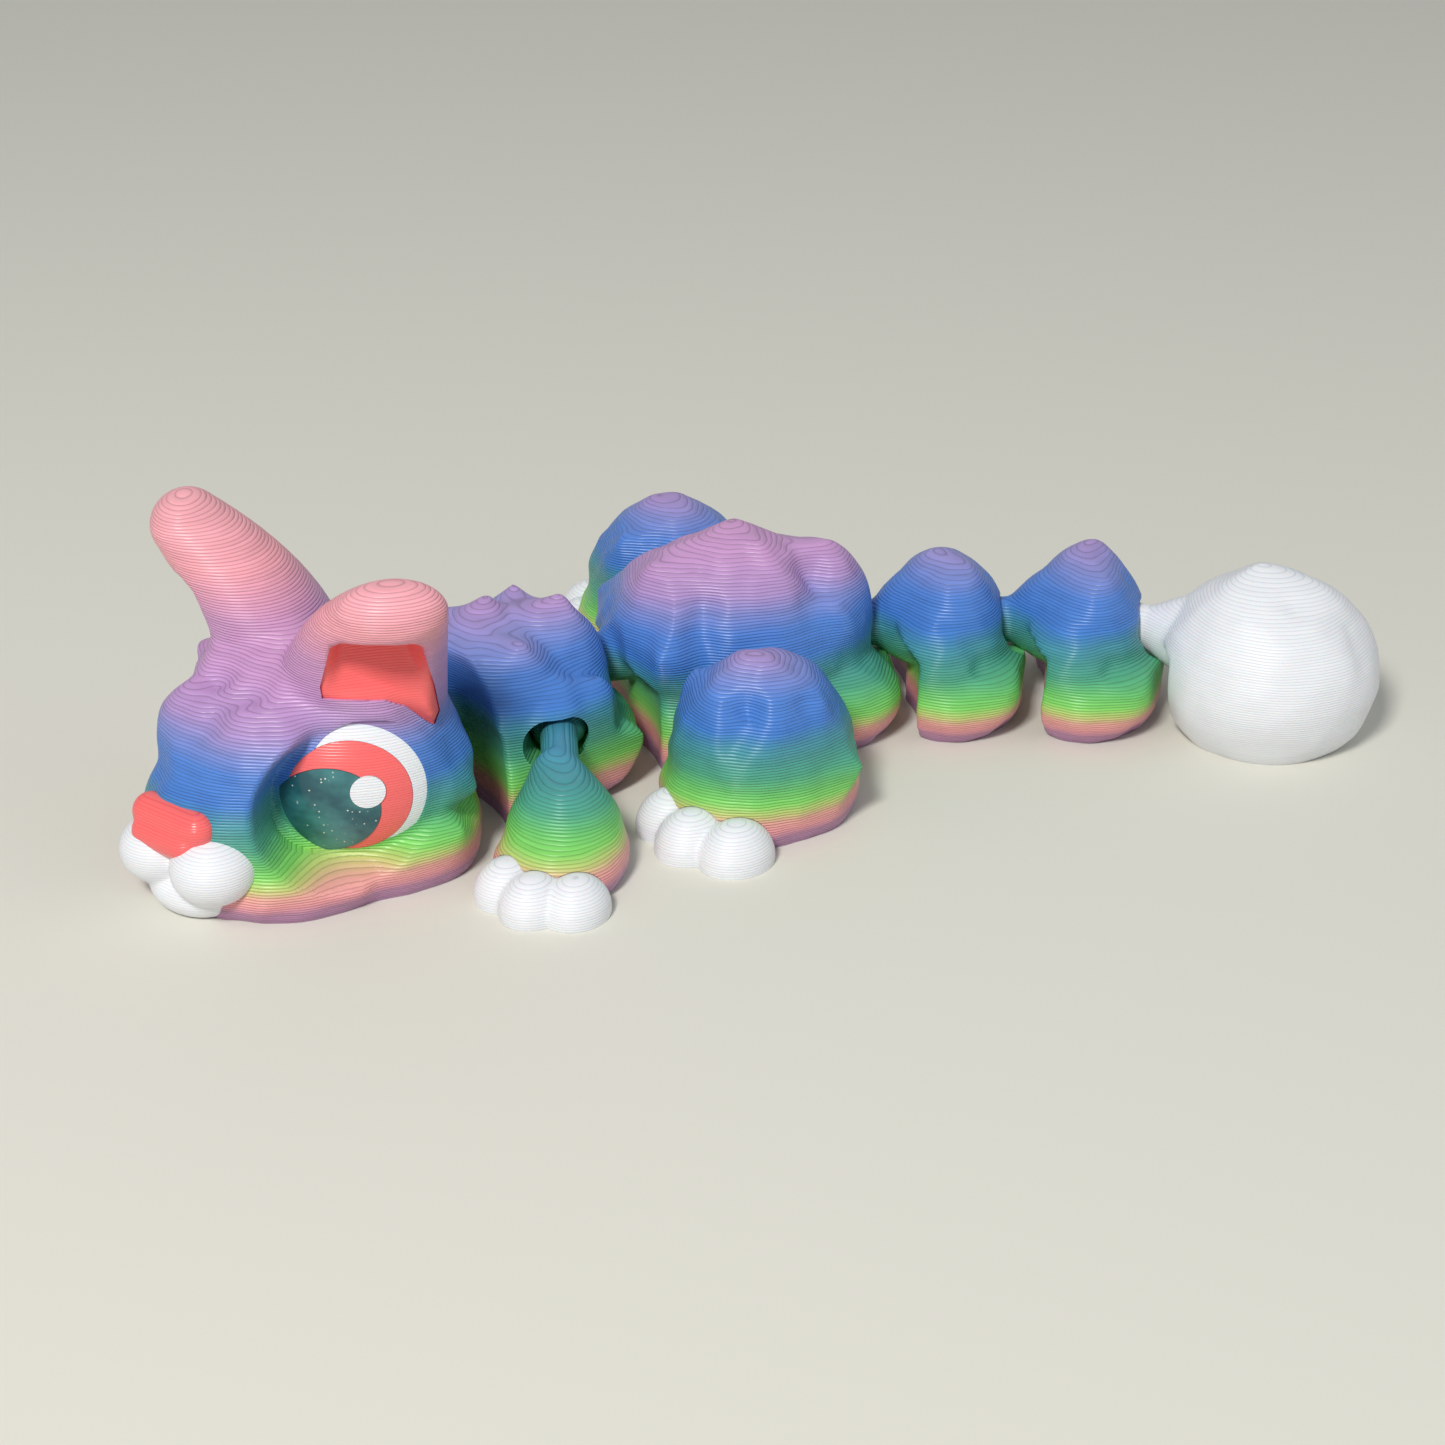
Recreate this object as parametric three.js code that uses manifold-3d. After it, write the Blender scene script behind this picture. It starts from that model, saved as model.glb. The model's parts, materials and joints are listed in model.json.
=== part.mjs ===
// Articulated print-in-place bunny: a chain of ball-jointed links lying flat on the bed it was made on.
// Millimetres, +Z up. The origin is the middle of the rump's flat underside, +X points to the tail,
// and -Y is the bunny's left side. Every link carries a ball on a neck that snaps into the link ahead.
import * as THREE from 'three';
import { mergeVertices } from 'three/addons/utils/BufferGeometryUtils.js';
import Module from 'manifold-3d';

const wasm = await Module();
wasm.setup();

// ---- fits ------------------------------------------------------------------------------------
const BALL_CLEARANCE = 0.4;   // all round each ball in its socket
const SWING_CLEARANCE = 0.45; // between a piece and its neighbour as it swings past
const INLAY_GAP = 0.3;        // between two colours that meet

// ---- joints of the chain ---------------------------------------------------------------------
const JOINT_HEIGHT = 7.0;     // ball centres above the bed
const BALL_RADIUS = 2.8;
const NECK_RADIUS = 1.8;
const SWING = 26;             // degrees each way from straight
const HEAD_SWING = 20;        // the head turns less, because its lip is wide

// ---- leg joints ------------------------------------------------------------------------------
const LEG_JOINT_HEIGHT = 6.3;
const LEG_BALL_RADIUS = 2.2;
const STUB_RADIUS = 1.4;
const LEG_SWING = 10;         // degrees each way from the leg's middle position
const LEG_WALL = 3.0;         // from a leg's ball centre to the outside of the side wall

// ---- outlines of the links in plan: each rear end is part of an ellipse about its joint ---------
// The lip is the low edge under the next neck; the shoulder is the steeper wall over it.
const SHOULDER_START = 6.0;   // height where the lip ends and the shoulder begins
const TAIL_OUTLINE = {
  lip: { back: 6.5, side: 9.6, centre: -1.0 }, shoulder: { back: 5.2, side: 6.8, centre: -1.8 },
};
const RUMP_OUTLINE = {
  lip: { back: 8.0, side: 10.8, centre: -2.5 }, shoulder: { back: 9.0, side: 9.6, centre: -5.2 },
};
const CHEST_OUTLINE = {
  lip: { back: 7.5, side: 11.2, centre: -2.0 }, shoulder: { back: 7.2, side: 9.4, centre: -3.4 },
};
const HEAD_OUTLINE = {
  lip: { back: 10.4, side: 12.4, centre: -5.0 }, shoulder: { back: 10.0, side: 12.6, centre: -5.2 },
};

// ---- distances between joints ----------------------------------------------------------------
const TAIL_PITCH = 11.2;
const CHEST_PITCH = 15.8;
const RUMP_REAR_JOINT = 6.8;
const RUMP_FRONT_JOINT = 16.4;

// ---- heights and girths ----------------------------------------------------------------------
const RUMP_HEIGHT = 16.4;
const CHEST_HEIGHT = 13.4;
const TAIL_HEIGHT = 12.4;
const HEAD_HEIGHT = 17.4;
const NOSE_REACH = 20.5;      // from the head's joint to the nose tip
const PUFF_RADIUS = 8.5;      // the round tail end
const PUFF_HEIGHT = 13.7;
const PUFF_REACH = 13.0;      // from its joint to its middle

// ---- legs --------------------------------------------------------------------------------------
const FRONT_LEG_PLACE = [-4.6, 7.0];  // ball centre, in the chest, on the right-hand side
const REAR_LEG_PLACE = [-1.0, 6.6];   // ball centre, in the rump
const HAUNCH_HEIGHT = 12.8;
const TOE_HEIGHT = 3.4;
const TOE_ROUND = 2.6;        // half the height that a toe would have if the bed didn't cut it
// The middle of a paw from its leg's ball, the way it points in degrees, and the toes' pitch.
const FRONT_PAW = { middle: [16.9, 1.5], points: 38, pitch: 3.3, toe: [2.5, 2.3] };
const REAR_PAW = { middle: [14.8, 5.9], points: 55, pitch: 3.8, toe: [2.7, 2.5] };
const TOE_BULGE = 1.2;        // how far the middle toe stands ahead of the others

// ---- ears and eyes -----------------------------------------------------------------------------
const EAR_HEIGHT = 25.2;
const EAR_FOOT = 9.0;         // height where an ear starts, inside the head
const EAR_PLACE = [-6.3, 5.0];        // middle of the right ear's foot
const EAR_SIZE = [5.7, 5.4];  // half its length and half its breadth at the foot
const EAR_LEAN = [-1.3, 5.4]; // how far its tip is ahead of its foot, and further out
const EAR_TAPER = 0.3;        // how much narrower it gets on its way up
const EAR_CAP = 0.72;         // the share of its height where its rounded top starts
const EAR_FACING = 50;        // degrees outwards from straight ahead that its inside faces
const LINING_DEPTH = 1.6;
const LINING_SINK = 0.3;      // how far a lining lies under the ear's skin
const LINING_PLACE = [-6.2, 7.4, 17.0];
// A lining's outline on the right ear's face: [towards the tail, up] from its place.
const LINING_OUTLINE = [
  [-4.6, -0.8], [-3.4, 3.6], [2.6, 3.8], [3.6, 3.2], [4.6, -2.2], [3.8, -4.6], [2.4, -3.0], [0.6, -1.2],
  [-1.6, -0.9],
];
const EYE_PLACE = [-11.2, 8.6, 8.0];  // middle of the right eye, on the head
const EYE_FACING = 45;        // degrees outwards from straight ahead
const EYE_DEPTH = 1.6;
const EYE_CURVE = 9.0;        // radius of the eye's gently domed face
// Ellipses on the eye's face: middle (towards the tail, up), half sizes, tilt in degrees.
const WHITE_RIM = { middle: [1.3, 0.8], size: [4.7, 4.7], tilt: 0 };
const IRIS_RIM = { middle: [-0.3, -0.2], size: [4.4, 4.3], tilt: 0 };
const PUPIL_RIM = { middle: [-2.0, -1.2], size: [3.9, 3.4], tilt: 20 };
const GLINT_RIM = { middle: [1.6, 0.3], size: [1.4, 1.4], tilt: 0 };

// ---- heaps of soft ellipsoids, { at, size, turn }, each seen from a point inside all of it -------
const TAIL_HEAP = {
  inside: [TAIL_PITCH - 3, 0, 5],
  lumps: [
    { at: [TAIL_PITCH - 1.4, 0, 3.0], size: [6.6, 9.3, 4.8] },
    { at: [TAIL_PITCH - 2.4, 0, TAIL_HEIGHT - 5.6], size: [4.6, 5.6, 5.6] },
  ],
};
const PUFF_HEAP = {
  inside: [PUFF_REACH, 0, 6],
  lumps: [
    { at: [PUFF_REACH, 0, PUFF_HEIGHT - 7.1], size: [PUFF_RADIUS, PUFF_RADIUS, 7.1] },
    { at: [PUFF_REACH, 0, 3.0], size: [PUFF_RADIUS - 0.8, PUFF_RADIUS - 0.8, 4.6] },
  ],
};
const FRONT_LEG_HEAP = {
  inside: [8.9, -1.2, 3],
  lumps: [
    { at: [8.9, -1.2, 2.4], size: [5.3, 3.9, 5.6] },
    { at: [12.3, 0.2, 1.6], size: [4.3, 4.4, 3.4], turn: 36 },
  ],
};
const REAR_LEG_HEAP = {
  inside: [9.0, 1.2, 3],
  lumps: [
    { at: [9.0, 1.2, HAUNCH_HEIGHT - 8.0], size: [7.4, 6.4, 8.0], turn: 50 },
    { at: [9.0, 1.2, 2.2], size: [7.8, 6.6, 4.8], turn: 50 },
  ],
};
const RUMP_HEAP = {
  inside: [-1, 0, 6],
  lumps: [
    { at: [-1.8, 0, RUMP_HEIGHT - 9.6], size: [11.0, 9.2, 9.6] },
    { at: [RUMP_REAR_JOINT - 2.6, 0, 3.0], size: [7.2, 9.8, 5.2] },
    { at: [-5.0, 0, 3.0], size: [8.5, 8.8, 5.2] },
  ],
};
const CHEST_HEAP = {
  inside: [-7, 0, 6],
  lumps: [
    { at: [-6.4, 0, CHEST_HEIGHT - 8.0], size: [9.2, 9.0, 8.0] },
    { at: [-2.6, 0, 2.8], size: [7.2, 10.6, 5.0] },
    { at: [-9.0, 0, 2.8], size: [7.0, 9.4, 5.0] },
  ],
};
const HEAD_HEAP = {
  inside: [-8, 0, 7],
  lumps: [
    { at: [-6.4, 0, HEAD_HEIGHT - 9.2], size: [9.6, 11.4, 9.2] },
    { at: [-5.6, 0, 2.8], size: [9.6, 11.6, 5.2] },
    { at: [-13.8, 0, 5.0], size: [6.6, 6.8, 8.0] },
  ],
};
const MUZZLE_HEAP = {
  inside: [1.6 - NOSE_REACH, 0, 3.4],
  lumps: [
    { at: [1.2 - NOSE_REACH, 2.5, 3.9], size: [3.0, 2.9, 2.5] },
    { at: [1.2 - NOSE_REACH, -2.5, 3.9], size: [3.0, 2.9, 2.5] },
    { at: [1.6 - NOSE_REACH, 0, 1.4], size: [2.6, 3.4, 1.9] },
  ],
};
const NOSE_HEAP = {
  inside: [0.5 - NOSE_REACH, 0, 6.6],
  lumps: [{ at: [0.5 - NOSE_REACH, 0, 6.6], size: [2.1, 3.3, 2.1] }],
};
// Where each neck ends inside its own link, along X, and how thick it is there.
const TAIL_NECK = { root: TAIL_PITCH - 3.4, radius: 5.0 };
const PUFF_NECK = { root: PUFF_REACH - 5.0, radius: 5.0 };
const RUMP_NECK = { root: -7.0, radius: 5.5 };
const CHEST_NECK = { root: -7.0, radius: 4.4 };

// ---- the curl of the resting pose, degrees -----------------------------------------------------
const RUMP_TURN = 6;
const CHEST_TURN = 20;
const HEAD_TURN = 11;
const TAIL_TURN_1 = -14;
const TAIL_TURN_2 = -8;
const PUFF_TURN = -22;
const FRONT_LEG_TURN = 36;    // forwards from straight out
const REAR_LEG_TURN = { left: 16, right: -8 };

// ---- finishes --------------------------------------------------------------------------------
const RAINBOW = { color: 0x6d86c9, roughness: 0.5, metalness: 0 };
const WHITE = { color: 0xeceef2, roughness: 0.4, metalness: 0 };
const CORAL = { color: 0xf07068, roughness: 0.4, metalness: 0 };
const TEAL = { color: 0x3f8f92, roughness: 0.25, metalness: 0 };

const HANDS = [['left', -1], ['right', 1]];
const radians = THREE.MathUtils.degToRad;

// ---- solids ------------------------------------------------------------------------------------
function solid(geometry) {
  const bare = geometry.clone();
  bare.deleteAttribute('normal');
  bare.deleteAttribute('uv');
  const merged = mergeVertices(bare, 1e-5);
  return new wasm.Manifold(new wasm.Mesh({
    numProp: 3,
    vertProperties: new Float32Array(merged.attributes.position.array),
    triVerts: new Uint32Array(merged.index.array),
  }));
}

function part(name, body, finish) {
  const { vertProperties, triVerts } = body.getMesh();
  const geometry = new THREE.BufferGeometry();
  geometry.setAttribute('position', new THREE.BufferAttribute(new Float32Array(vertProperties), 3));
  geometry.setIndex(new THREE.BufferAttribute(new Uint32Array(triVerts), 1));
  geometry.computeVertexNormals();
  const mesh = new THREE.Mesh(geometry, new THREE.MeshStandardMaterial(finish));
  mesh.name = name;
  return mesh;
}

function union(first, ...others) {
  return others.reduce((joined, next) => joined.add(next), first);
}

function block(low, high) {
  const size = high.map((value, axis) => value - low[axis]);
  const geometry = new THREE.BoxGeometry(...size);
  geometry.translate(...low.map((value, axis) => value + size[axis] / 2));
  return solid(geometry);
}

const REACH = 60;             // further than any part of the toy from its own joint
const belowBed = block([-REACH, -REACH, -REACH], [REACH, REACH, 0]);

// A ball, turned so that its poles point up.
function ball([x, y, z], radius, around = 14, down = 8) {
  const geometry = new THREE.SphereGeometry(radius, around, down);
  geometry.rotateX(Math.PI / 2);
  geometry.translate(x, y, z);
  return solid(geometry);
}

// A round bar from one point to another that may taper.
function bar(from, to, fromRadius, toRadius, sides = 12) {
  const start = new THREE.Vector3(...from);
  const run = new THREE.Vector3(...to).sub(start);
  const geometry = new THREE.CylinderGeometry(toRadius, fromRadius, run.length(), sides);
  geometry.translate(0, run.length() / 2, 0);
  geometry.applyQuaternion(new THREE.Quaternion().setFromUnitVectors(
    new THREE.Vector3(0, 1, 0), run.clone().normalize()));
  geometry.translate(...start.toArray());
  return solid(geometry);
}

// A flat outline in plan, raised from one height to another.
function slab(points, low, high) {
  const shape = new THREE.Shape(points.map(([x, y]) => new THREE.Vector2(x, y)));
  const geometry = new THREE.ExtrudeGeometry(shape, { depth: high - low, bevelEnabled: false });
  geometry.translate(0, 0, low);
  return solid(geometry);
}

const SQUARENESS = 2.35;      // 2 is an ellipsoid, and more is boxier

// The distance along a ray to the outside of a soft heap of ellipsoids, which run together where
// they meet.
function heapRadius(centre, direction, lumps, blend) {
  const field = (t) => lumps.reduce((sum, lump) => {
    const turn = radians(lump.turn ?? 0);
    const x = centre[0] + t * direction.x - lump.at[0];
    const y = centre[1] + t * direction.y - lump.at[1];
    const z = centre[2] + t * direction.z - lump.at[2];
    const along = x * Math.cos(turn) + y * Math.sin(turn);
    const across = y * Math.cos(turn) - x * Math.sin(turn);
    const q = Math.abs(along / lump.size[0]) ** SQUARENESS + Math.abs(across / lump.size[1]) ** SQUARENESS
      + Math.abs(z / lump.size[2]) ** SQUARENESS;
    return sum + Math.exp(blend * (1 - q ** (1 / SQUARENESS)));
  }, -1);
  let outside = REACH / 2;
  while (field(outside) < 0 && outside > 0.5) outside -= 0.5;
  let inside = outside;
  outside += 0.5;
  for (let step = 0; step < 18; step += 1) {
    const middle = (inside + outside) / 2;
    if (field(middle) < 0) outside = middle;
    else inside = middle;
  }
  return inside;
}

// One closed skin over a heap, with each lump larger by `extra` all round.
function heap({ inside, lumps }, { around = 24, down = 12, blend = 6, bed = true, extra = 0 } = {}) {
  const larger = grown(lumps, extra);
  const geometry = new THREE.SphereGeometry(1, around, down);
  geometry.rotateX(Math.PI / 2);
  geometry.deleteAttribute('normal');
  geometry.deleteAttribute('uv');
  const merged = mergeVertices(geometry, 1e-5);
  const position = merged.attributes.position;
  const direction = new THREE.Vector3();
  for (let i = 0; i < position.count; i += 1) {
    direction.fromBufferAttribute(position, i).normalize();
    const radius = heapRadius(inside, direction, larger, blend);
    position.setXYZ(i, inside[0] + radius * direction.x, inside[1] + radius * direction.y,
      inside[2] + radius * direction.z);
  }
  const skin = solid(merged);
  return bed ? skin.subtract(belowBed) : skin;
}

// A heap's lumps, each larger by `extra` all round.
function grown(lumps, extra) {
  return lumps.map((lump) => ({ ...lump, size: lump.size.map((value) => value + extra) }));
}

// The same heap on the other side of the middle plane.
function mirrored({ inside, lumps }) {
  return {
    inside: [inside[0], -inside[1], inside[2]],
    lumps: lumps.map((lump) => ({
      ...lump, at: [lump.at[0], -lump.at[1], lump.at[2]], turn: -(lump.turn ?? 0),
    })),
  };
}

// ---- what every link of the chain shares -------------------------------------------------------
// How far a link's rear edge is from the joint inside it, in the direction `degrees` from straight back.
function edgeRadius(edge, degrees) {
  const cos = Math.cos(radians(degrees));
  const sin = Math.sin(radians(degrees));
  const a = (cos / edge.back) ** 2 + (sin / edge.side) ** 2;
  const b = -2 * edge.centre * cos / edge.back ** 2;
  const c = (edge.centre / edge.back) ** 2 - 1;
  return (-b + Math.sqrt(b * b - 4 * a * c)) / (2 * a);
}

// A fan of points about a joint, at the radius that `radiusAt` gives for each angle.
function fanPoints(joint, limit, step, radiusAt) {
  const points = [];
  for (let degrees = -limit; degrees <= limit; degrees += step) {
    const radius = radiusAt(degrees);
    points.push([joint + radius * Math.cos(radians(degrees)), radius * Math.sin(radians(degrees))]);
  }
  return points;
}

// Keeps a link inside its rear outline; the joint is at `joint`, and straight back is +X.
function trimRear(body, joint, outline) {
  const keep = (edge, low, high) => {
    const points = fanPoints(joint, 105, 15, (degrees) => edgeRadius(edge, degrees));
    points.push([joint - REACH, REACH], [joint - REACH, -REACH]);
    return slab(points, low, high);
  };
  return body.intersect(keep(outline.lip, -1, SHOULDER_START)
    .add(keep(outline.shoulder, SHOULDER_START - 0.01, REACH)));
}

// Takes away all that the link ahead needs as this one swings about its own ball.
function trimFront(body, joint, outlineAhead, swing = SWING) {
  const cut = (edge, low, high) => {
    const points = fanPoints(joint, 90, 15, (degrees) => SWING_CLEARANCE + Math.max(
      edgeRadius(edge, Math.abs(degrees)), edgeRadius(edge, Math.min(Math.abs(degrees) + swing, 110))));
    points.push([joint - REACH, REACH], [joint - REACH, -REACH]);
    return slab(points, low, high);
  };
  const step = SHOULDER_START + SWING_CLEARANCE;
  return body.subtract(cut(outlineAhead.lip, -1, step))
    .subtract(cut(outlineAhead.shoulder, step - 0.01, REACH));
}

// Flat side walls at `half` each side of the middle plane.
function trimSides(body, half) {
  return body.intersect(block([-REACH, -half, -1], [REACH, half, REACH]));
}

// The round socket for the next ball, with a fan-shaped mouth for its neck.
function socket(place, height, ballRadius, neckRadius, facing, swing) {
  const mouth = neckRadius + BALL_CLEARANCE;
  const slope = radians(swing + 2);
  const far = 14;
  const side = mouth / Math.cos(slope);
  const fan = slab([
    [0, -side],
    [far * Math.cos(slope), -far * Math.sin(slope) - side],
    [far * Math.cos(slope), far * Math.sin(slope) + side],
    [0, side],
  ], height - mouth, height + mouth);
  return ball([0, 0, height], ballRadius + BALL_CLEARANCE).add(fan)
    .rotate([0, 0, facing]).translate([...place, 0]);
}

function chainSocket(joint, swing = SWING) {
  return socket([joint, 0], JOINT_HEIGHT, BALL_RADIUS, NECK_RADIUS, 0, swing);
}

// The ball and neck at `joint`, running back and widening into the body at `root`.
function ballAndNeck(joint, { root, radius }, outlineAhead) {
  const flare = joint + edgeRadius(outlineAhead.shoulder, 0) + SWING_CLEARANCE;
  return union(
    ball([joint, 0, JOINT_HEIGHT], BALL_RADIUS),
    bar([joint, 0, JOINT_HEIGHT], [flare + 0.1, 0, JOINT_HEIGHT], NECK_RADIUS, NECK_RADIUS),
    bar([flare, 0, JOINT_HEIGHT], [root, 0, JOINT_HEIGHT], NECK_RADIUS, radius)
      .subtract(block([joint, -REACH, 0], [joint + edgeRadius(outlineAhead.lip, 0) + SWING_CLEARANCE,
        REACH, JOINT_HEIGHT - NECK_RADIUS])),
  );
}

// ---- tail --------------------------------------------------------------------------------------
function tailLink(name, outlineAhead) {
  const skin = heap(TAIL_HEAP, { blend: 7 });
  const trimmed = trimFront(trimRear(skin, TAIL_PITCH, TAIL_OUTLINE), 0, outlineAhead);
  const neck = ballAndNeck(0, TAIL_NECK, outlineAhead);
  return part(name, trimmed.add(neck).subtract(chainSocket(TAIL_PITCH)), RAINBOW);
}

function tailPuff() {
  const skin = heap(PUFF_HEAP, { blend: 9 });
  const neck = ballAndNeck(0, PUFF_NECK, TAIL_OUTLINE);
  return part('tail_ball', trimFront(skin, 0, TAIL_OUTLINE).add(neck), WHITE);
}

// ---- legs: a leg's group starts at its ball, and straight out is +X -----------------------------
// The inner face of a leg, shaped so that it swings past the flat side wall, whose own outward
// direction is at `wallAngle` from the leg's.
function trimLeg(body, wallAngle) {
  const points = fanPoints(0, 75, 15, (degrees) => SWING_CLEARANCE
    + LEG_WALL / Math.cos(radians(Math.min(Math.abs(degrees - wallAngle) + LEG_SWING, 80))));
  points.push([-REACH, REACH], [-REACH, -REACH]);
  return body.subtract(slab(points, -1, REACH));
}

function stub(reach) {
  return union(
    ball([0, 0, LEG_JOINT_HEIGHT], LEG_BALL_RADIUS, 12, 8),
    bar([0, 0, LEG_JOINT_HEIGHT], [reach, 0, LEG_JOINT_HEIGHT], STUB_RADIUS, STUB_RADIUS, 10),
  );
}

// Three toes side by side, with the middle one ahead: each is { at, turn, size }.
function toeLumps(paw, side, extra = 0) {
  const points = radians(paw.points * side);
  const [x, y] = [paw.middle[0], paw.middle[1] * side];
  return [-1, 0, 1].map((place) => {
    const ahead = place === 0 ? TOE_BULGE : 0;
    return {
      at: [x - place * paw.pitch * Math.sin(points) + ahead * Math.cos(points),
        y + place * paw.pitch * Math.cos(points) + ahead * Math.sin(points), TOE_HEIGHT - TOE_ROUND],
      size: [paw.toe[0] + extra, paw.toe[1] + extra, TOE_ROUND + extra], turn: paw.points * side,
    };
  });
}

function toeBalls(lumps) {
  return union(...lumps.map(({ at, size, turn }) => {
    const geometry = new THREE.SphereGeometry(1, 10, 6);
    geometry.rotateX(Math.PI / 2);
    geometry.scale(...size);
    geometry.rotateZ(radians(turn));
    geometry.translate(...at);
    return solid(geometry);
  }));
}

function leg(hand, end, side, lumps, paw, forwards) {
  const own = side > 0 ? lumps : mirrored(lumps);
  const skin = heap(own, { around: 22 });
  const body = trimLeg(skin, -side * forwards).add(stub(own.inside[0]))
    .subtract(toeBalls(toeLumps(paw, side, INLAY_GAP)));
  return [
    part(`${end}_${hand}_leg`, body, RAINBOW),
    part(`${end}_${hand}_toes`, toeBalls(toeLumps(paw, side)).subtract(belowBed), WHITE),
  ];
}

function frontLeg(hand, side) {
  return leg(hand, 'front', side, FRONT_LEG_HEAP, FRONT_PAW, FRONT_LEG_TURN);
}

function rearLeg(hand, side) {
  return leg(hand, 'rear', side, REAR_LEG_HEAP, REAR_PAW, REAR_LEG_TURN[hand]);
}

function legSocket([x, y], side, forwards) {
  return socket([x, y * side], LEG_JOINT_HEIGHT, LEG_BALL_RADIUS, STUB_RADIUS,
    side * (90 + forwards), LEG_SWING);
}

function legGroup([x, y], side, forwards, pieces) {
  return turned(x, y * side, side * (90 + forwards), ...pieces);
}

// ---- rump --------------------------------------------------------------------------------------
function rump() {
  const front = -RUMP_FRONT_JOINT;
  const walled = trimSides(heap(RUMP_HEAP), REAR_LEG_PLACE[1] + LEG_WALL);
  const trimmed = trimFront(trimRear(walled, RUMP_REAR_JOINT, RUMP_OUTLINE), front, CHEST_OUTLINE);
  const body = trimmed.add(ballAndNeck(front, RUMP_NECK, CHEST_OUTLINE)).subtract(
    chainSocket(RUMP_REAR_JOINT)).subtract(legSocket(REAR_LEG_PLACE, 1, REAR_LEG_TURN.right))
    .subtract(legSocket(REAR_LEG_PLACE, -1, REAR_LEG_TURN.left));
  return part('body_shell', body, RAINBOW);
}

// ---- chest: its rear joint is the origin of its group, and it runs forwards along -X ----------
function chest() {
  const front = -CHEST_PITCH;
  const walled = trimSides(heap(CHEST_HEAP), FRONT_LEG_PLACE[1] + LEG_WALL);
  const trimmed = trimFront(trimRear(walled, 0, CHEST_OUTLINE), front, HEAD_OUTLINE, HEAD_SWING);
  const body = trimmed.add(ballAndNeck(front, CHEST_NECK, HEAD_OUTLINE)).subtract(chainSocket(0))
    .subtract(legSocket(FRONT_LEG_PLACE, 1, FRONT_LEG_TURN))
    .subtract(legSocket(FRONT_LEG_PLACE, -1, FRONT_LEG_TURN));
  return part('chest_shell', body, RAINBOW);
}

// ---- head: its rear joint is the origin of its group, and the nose points along -X -------------
// An ear is a blunt horn that leans outwards and curls forwards as it rises; `extra` thickens it.
function earHorn(side, extra = 0) {
  const rise = EAR_HEIGHT - EAR_FOOT;
  const profile = [new THREE.Vector2(0, 0)];
  const steps = 10;
  for (let step = 0; step <= steps; step += 1) {
    const climb = step / steps;
    const cap = Math.sqrt(1 - Math.max(0, (climb - EAR_CAP) / (1 - EAR_CAP)) ** 2);
    profile.push(new THREE.Vector2(step === steps ? 0 : (1 - EAR_TAPER * climb) * cap, climb));
  }
  const geometry = new THREE.LatheGeometry(profile, 18);
  geometry.rotateX(Math.PI / 2);
  const position = geometry.attributes.position;
  for (let i = 0; i < position.count; i += 1) {
    const climb = position.getZ(i);
    position.setXYZ(i,
      EAR_PLACE[0] + EAR_LEAN[0] * climb ** 2 + position.getX(i) * (EAR_SIZE[0] + extra),
      EAR_PLACE[1] + EAR_LEAN[1] * climb ** 2 + position.getY(i) * (EAR_SIZE[1] + extra),
      EAR_FOOT + climb * (rise + extra));
  }
  const horn = solid(geometry);
  return side > 0 ? horn : horn.mirror([0, 1, 0]);
}

// A prism whose outline lies on a face: `points` are [towards the tail, up] from `place`, and it
// runs outwards from `near` to `far` along the way that the face looks.
function facePrism(points, place, facing, near, far) {
  const prism = slab(points, near, far);
  const out = [-Math.cos(radians(facing)), Math.sin(radians(facing))];
  const along = [Math.sin(radians(facing)), Math.cos(radians(facing))];
  // Columns: the outline's x, the outline's y, the prism's length, and the place.
  return prism.transform([
    along[0], along[1], 0, 0, 0, 0, 1, 0, out[0], out[1], 0, 0, place[0], place[1], place[2], 1,
  ]);
}

function ellipsePoints({ middle, size, tilt }, extra = 0, count = 16) {
  return Array.from({ length: count }, (_, i) => {
    const angle = 2 * Math.PI * i / count;
    const x = (size[0] + extra) * Math.cos(angle);
    const y = (size[1] + extra) * Math.sin(angle);
    return [middle[0] + x * Math.cos(radians(tilt)) - y * Math.sin(radians(tilt)),
      middle[1] + x * Math.sin(radians(tilt)) + y * Math.cos(radians(tilt))];
  });
}

function onSide(side, body) {
  return side > 0 ? body : body.mirror([0, 1, 0]);
}

// One region of the eye's face, `depth` deep under the domed surface.
function eyeRegion(outline, extra, rise, depth) {
  const out = [-Math.cos(radians(EYE_FACING)), Math.sin(radians(EYE_FACING))];
  const centre = [EYE_PLACE[0] - out[0] * EYE_CURVE, EYE_PLACE[1] - out[1] * EYE_CURVE, EYE_PLACE[2]];
  return facePrism(ellipsePoints(outline, extra), EYE_PLACE, EYE_FACING, -6, 6)
    .intersect(ball(centre, EYE_CURVE + rise, 22, 12))
    .subtract(ball(centre, EYE_CURVE - depth, 12, 8));
}

function eye(hand, side) {
  const white = eyeRegion(WHITE_RIM, 0, 0, EYE_DEPTH);
  const iris = eyeRegion(IRIS_RIM, 0, 0, EYE_DEPTH);
  const pupil = eyeRegion(PUPIL_RIM, 0, 0.1, EYE_DEPTH);
  const cut = (outline) => eyeRegion(outline, INLAY_GAP, 1, EYE_DEPTH + 1);
  const glint = eyeRegion(GLINT_RIM, 0, 0.2, EYE_DEPTH);
  return [
    part(`${hand}_eye_white`, onSide(side, white.subtract(cut(IRIS_RIM))), WHITE),
    part(`${hand}_iris`, onSide(side, iris.subtract(cut(PUPIL_RIM)).subtract(cut(GLINT_RIM))), CORAL),
    part(`${hand}_pupil`, onSide(side, pupil.subtract(cut(GLINT_RIM))), TEAL),
    part(`${hand}_highlight`, onSide(side, glint), WHITE),
  ];
}

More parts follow.
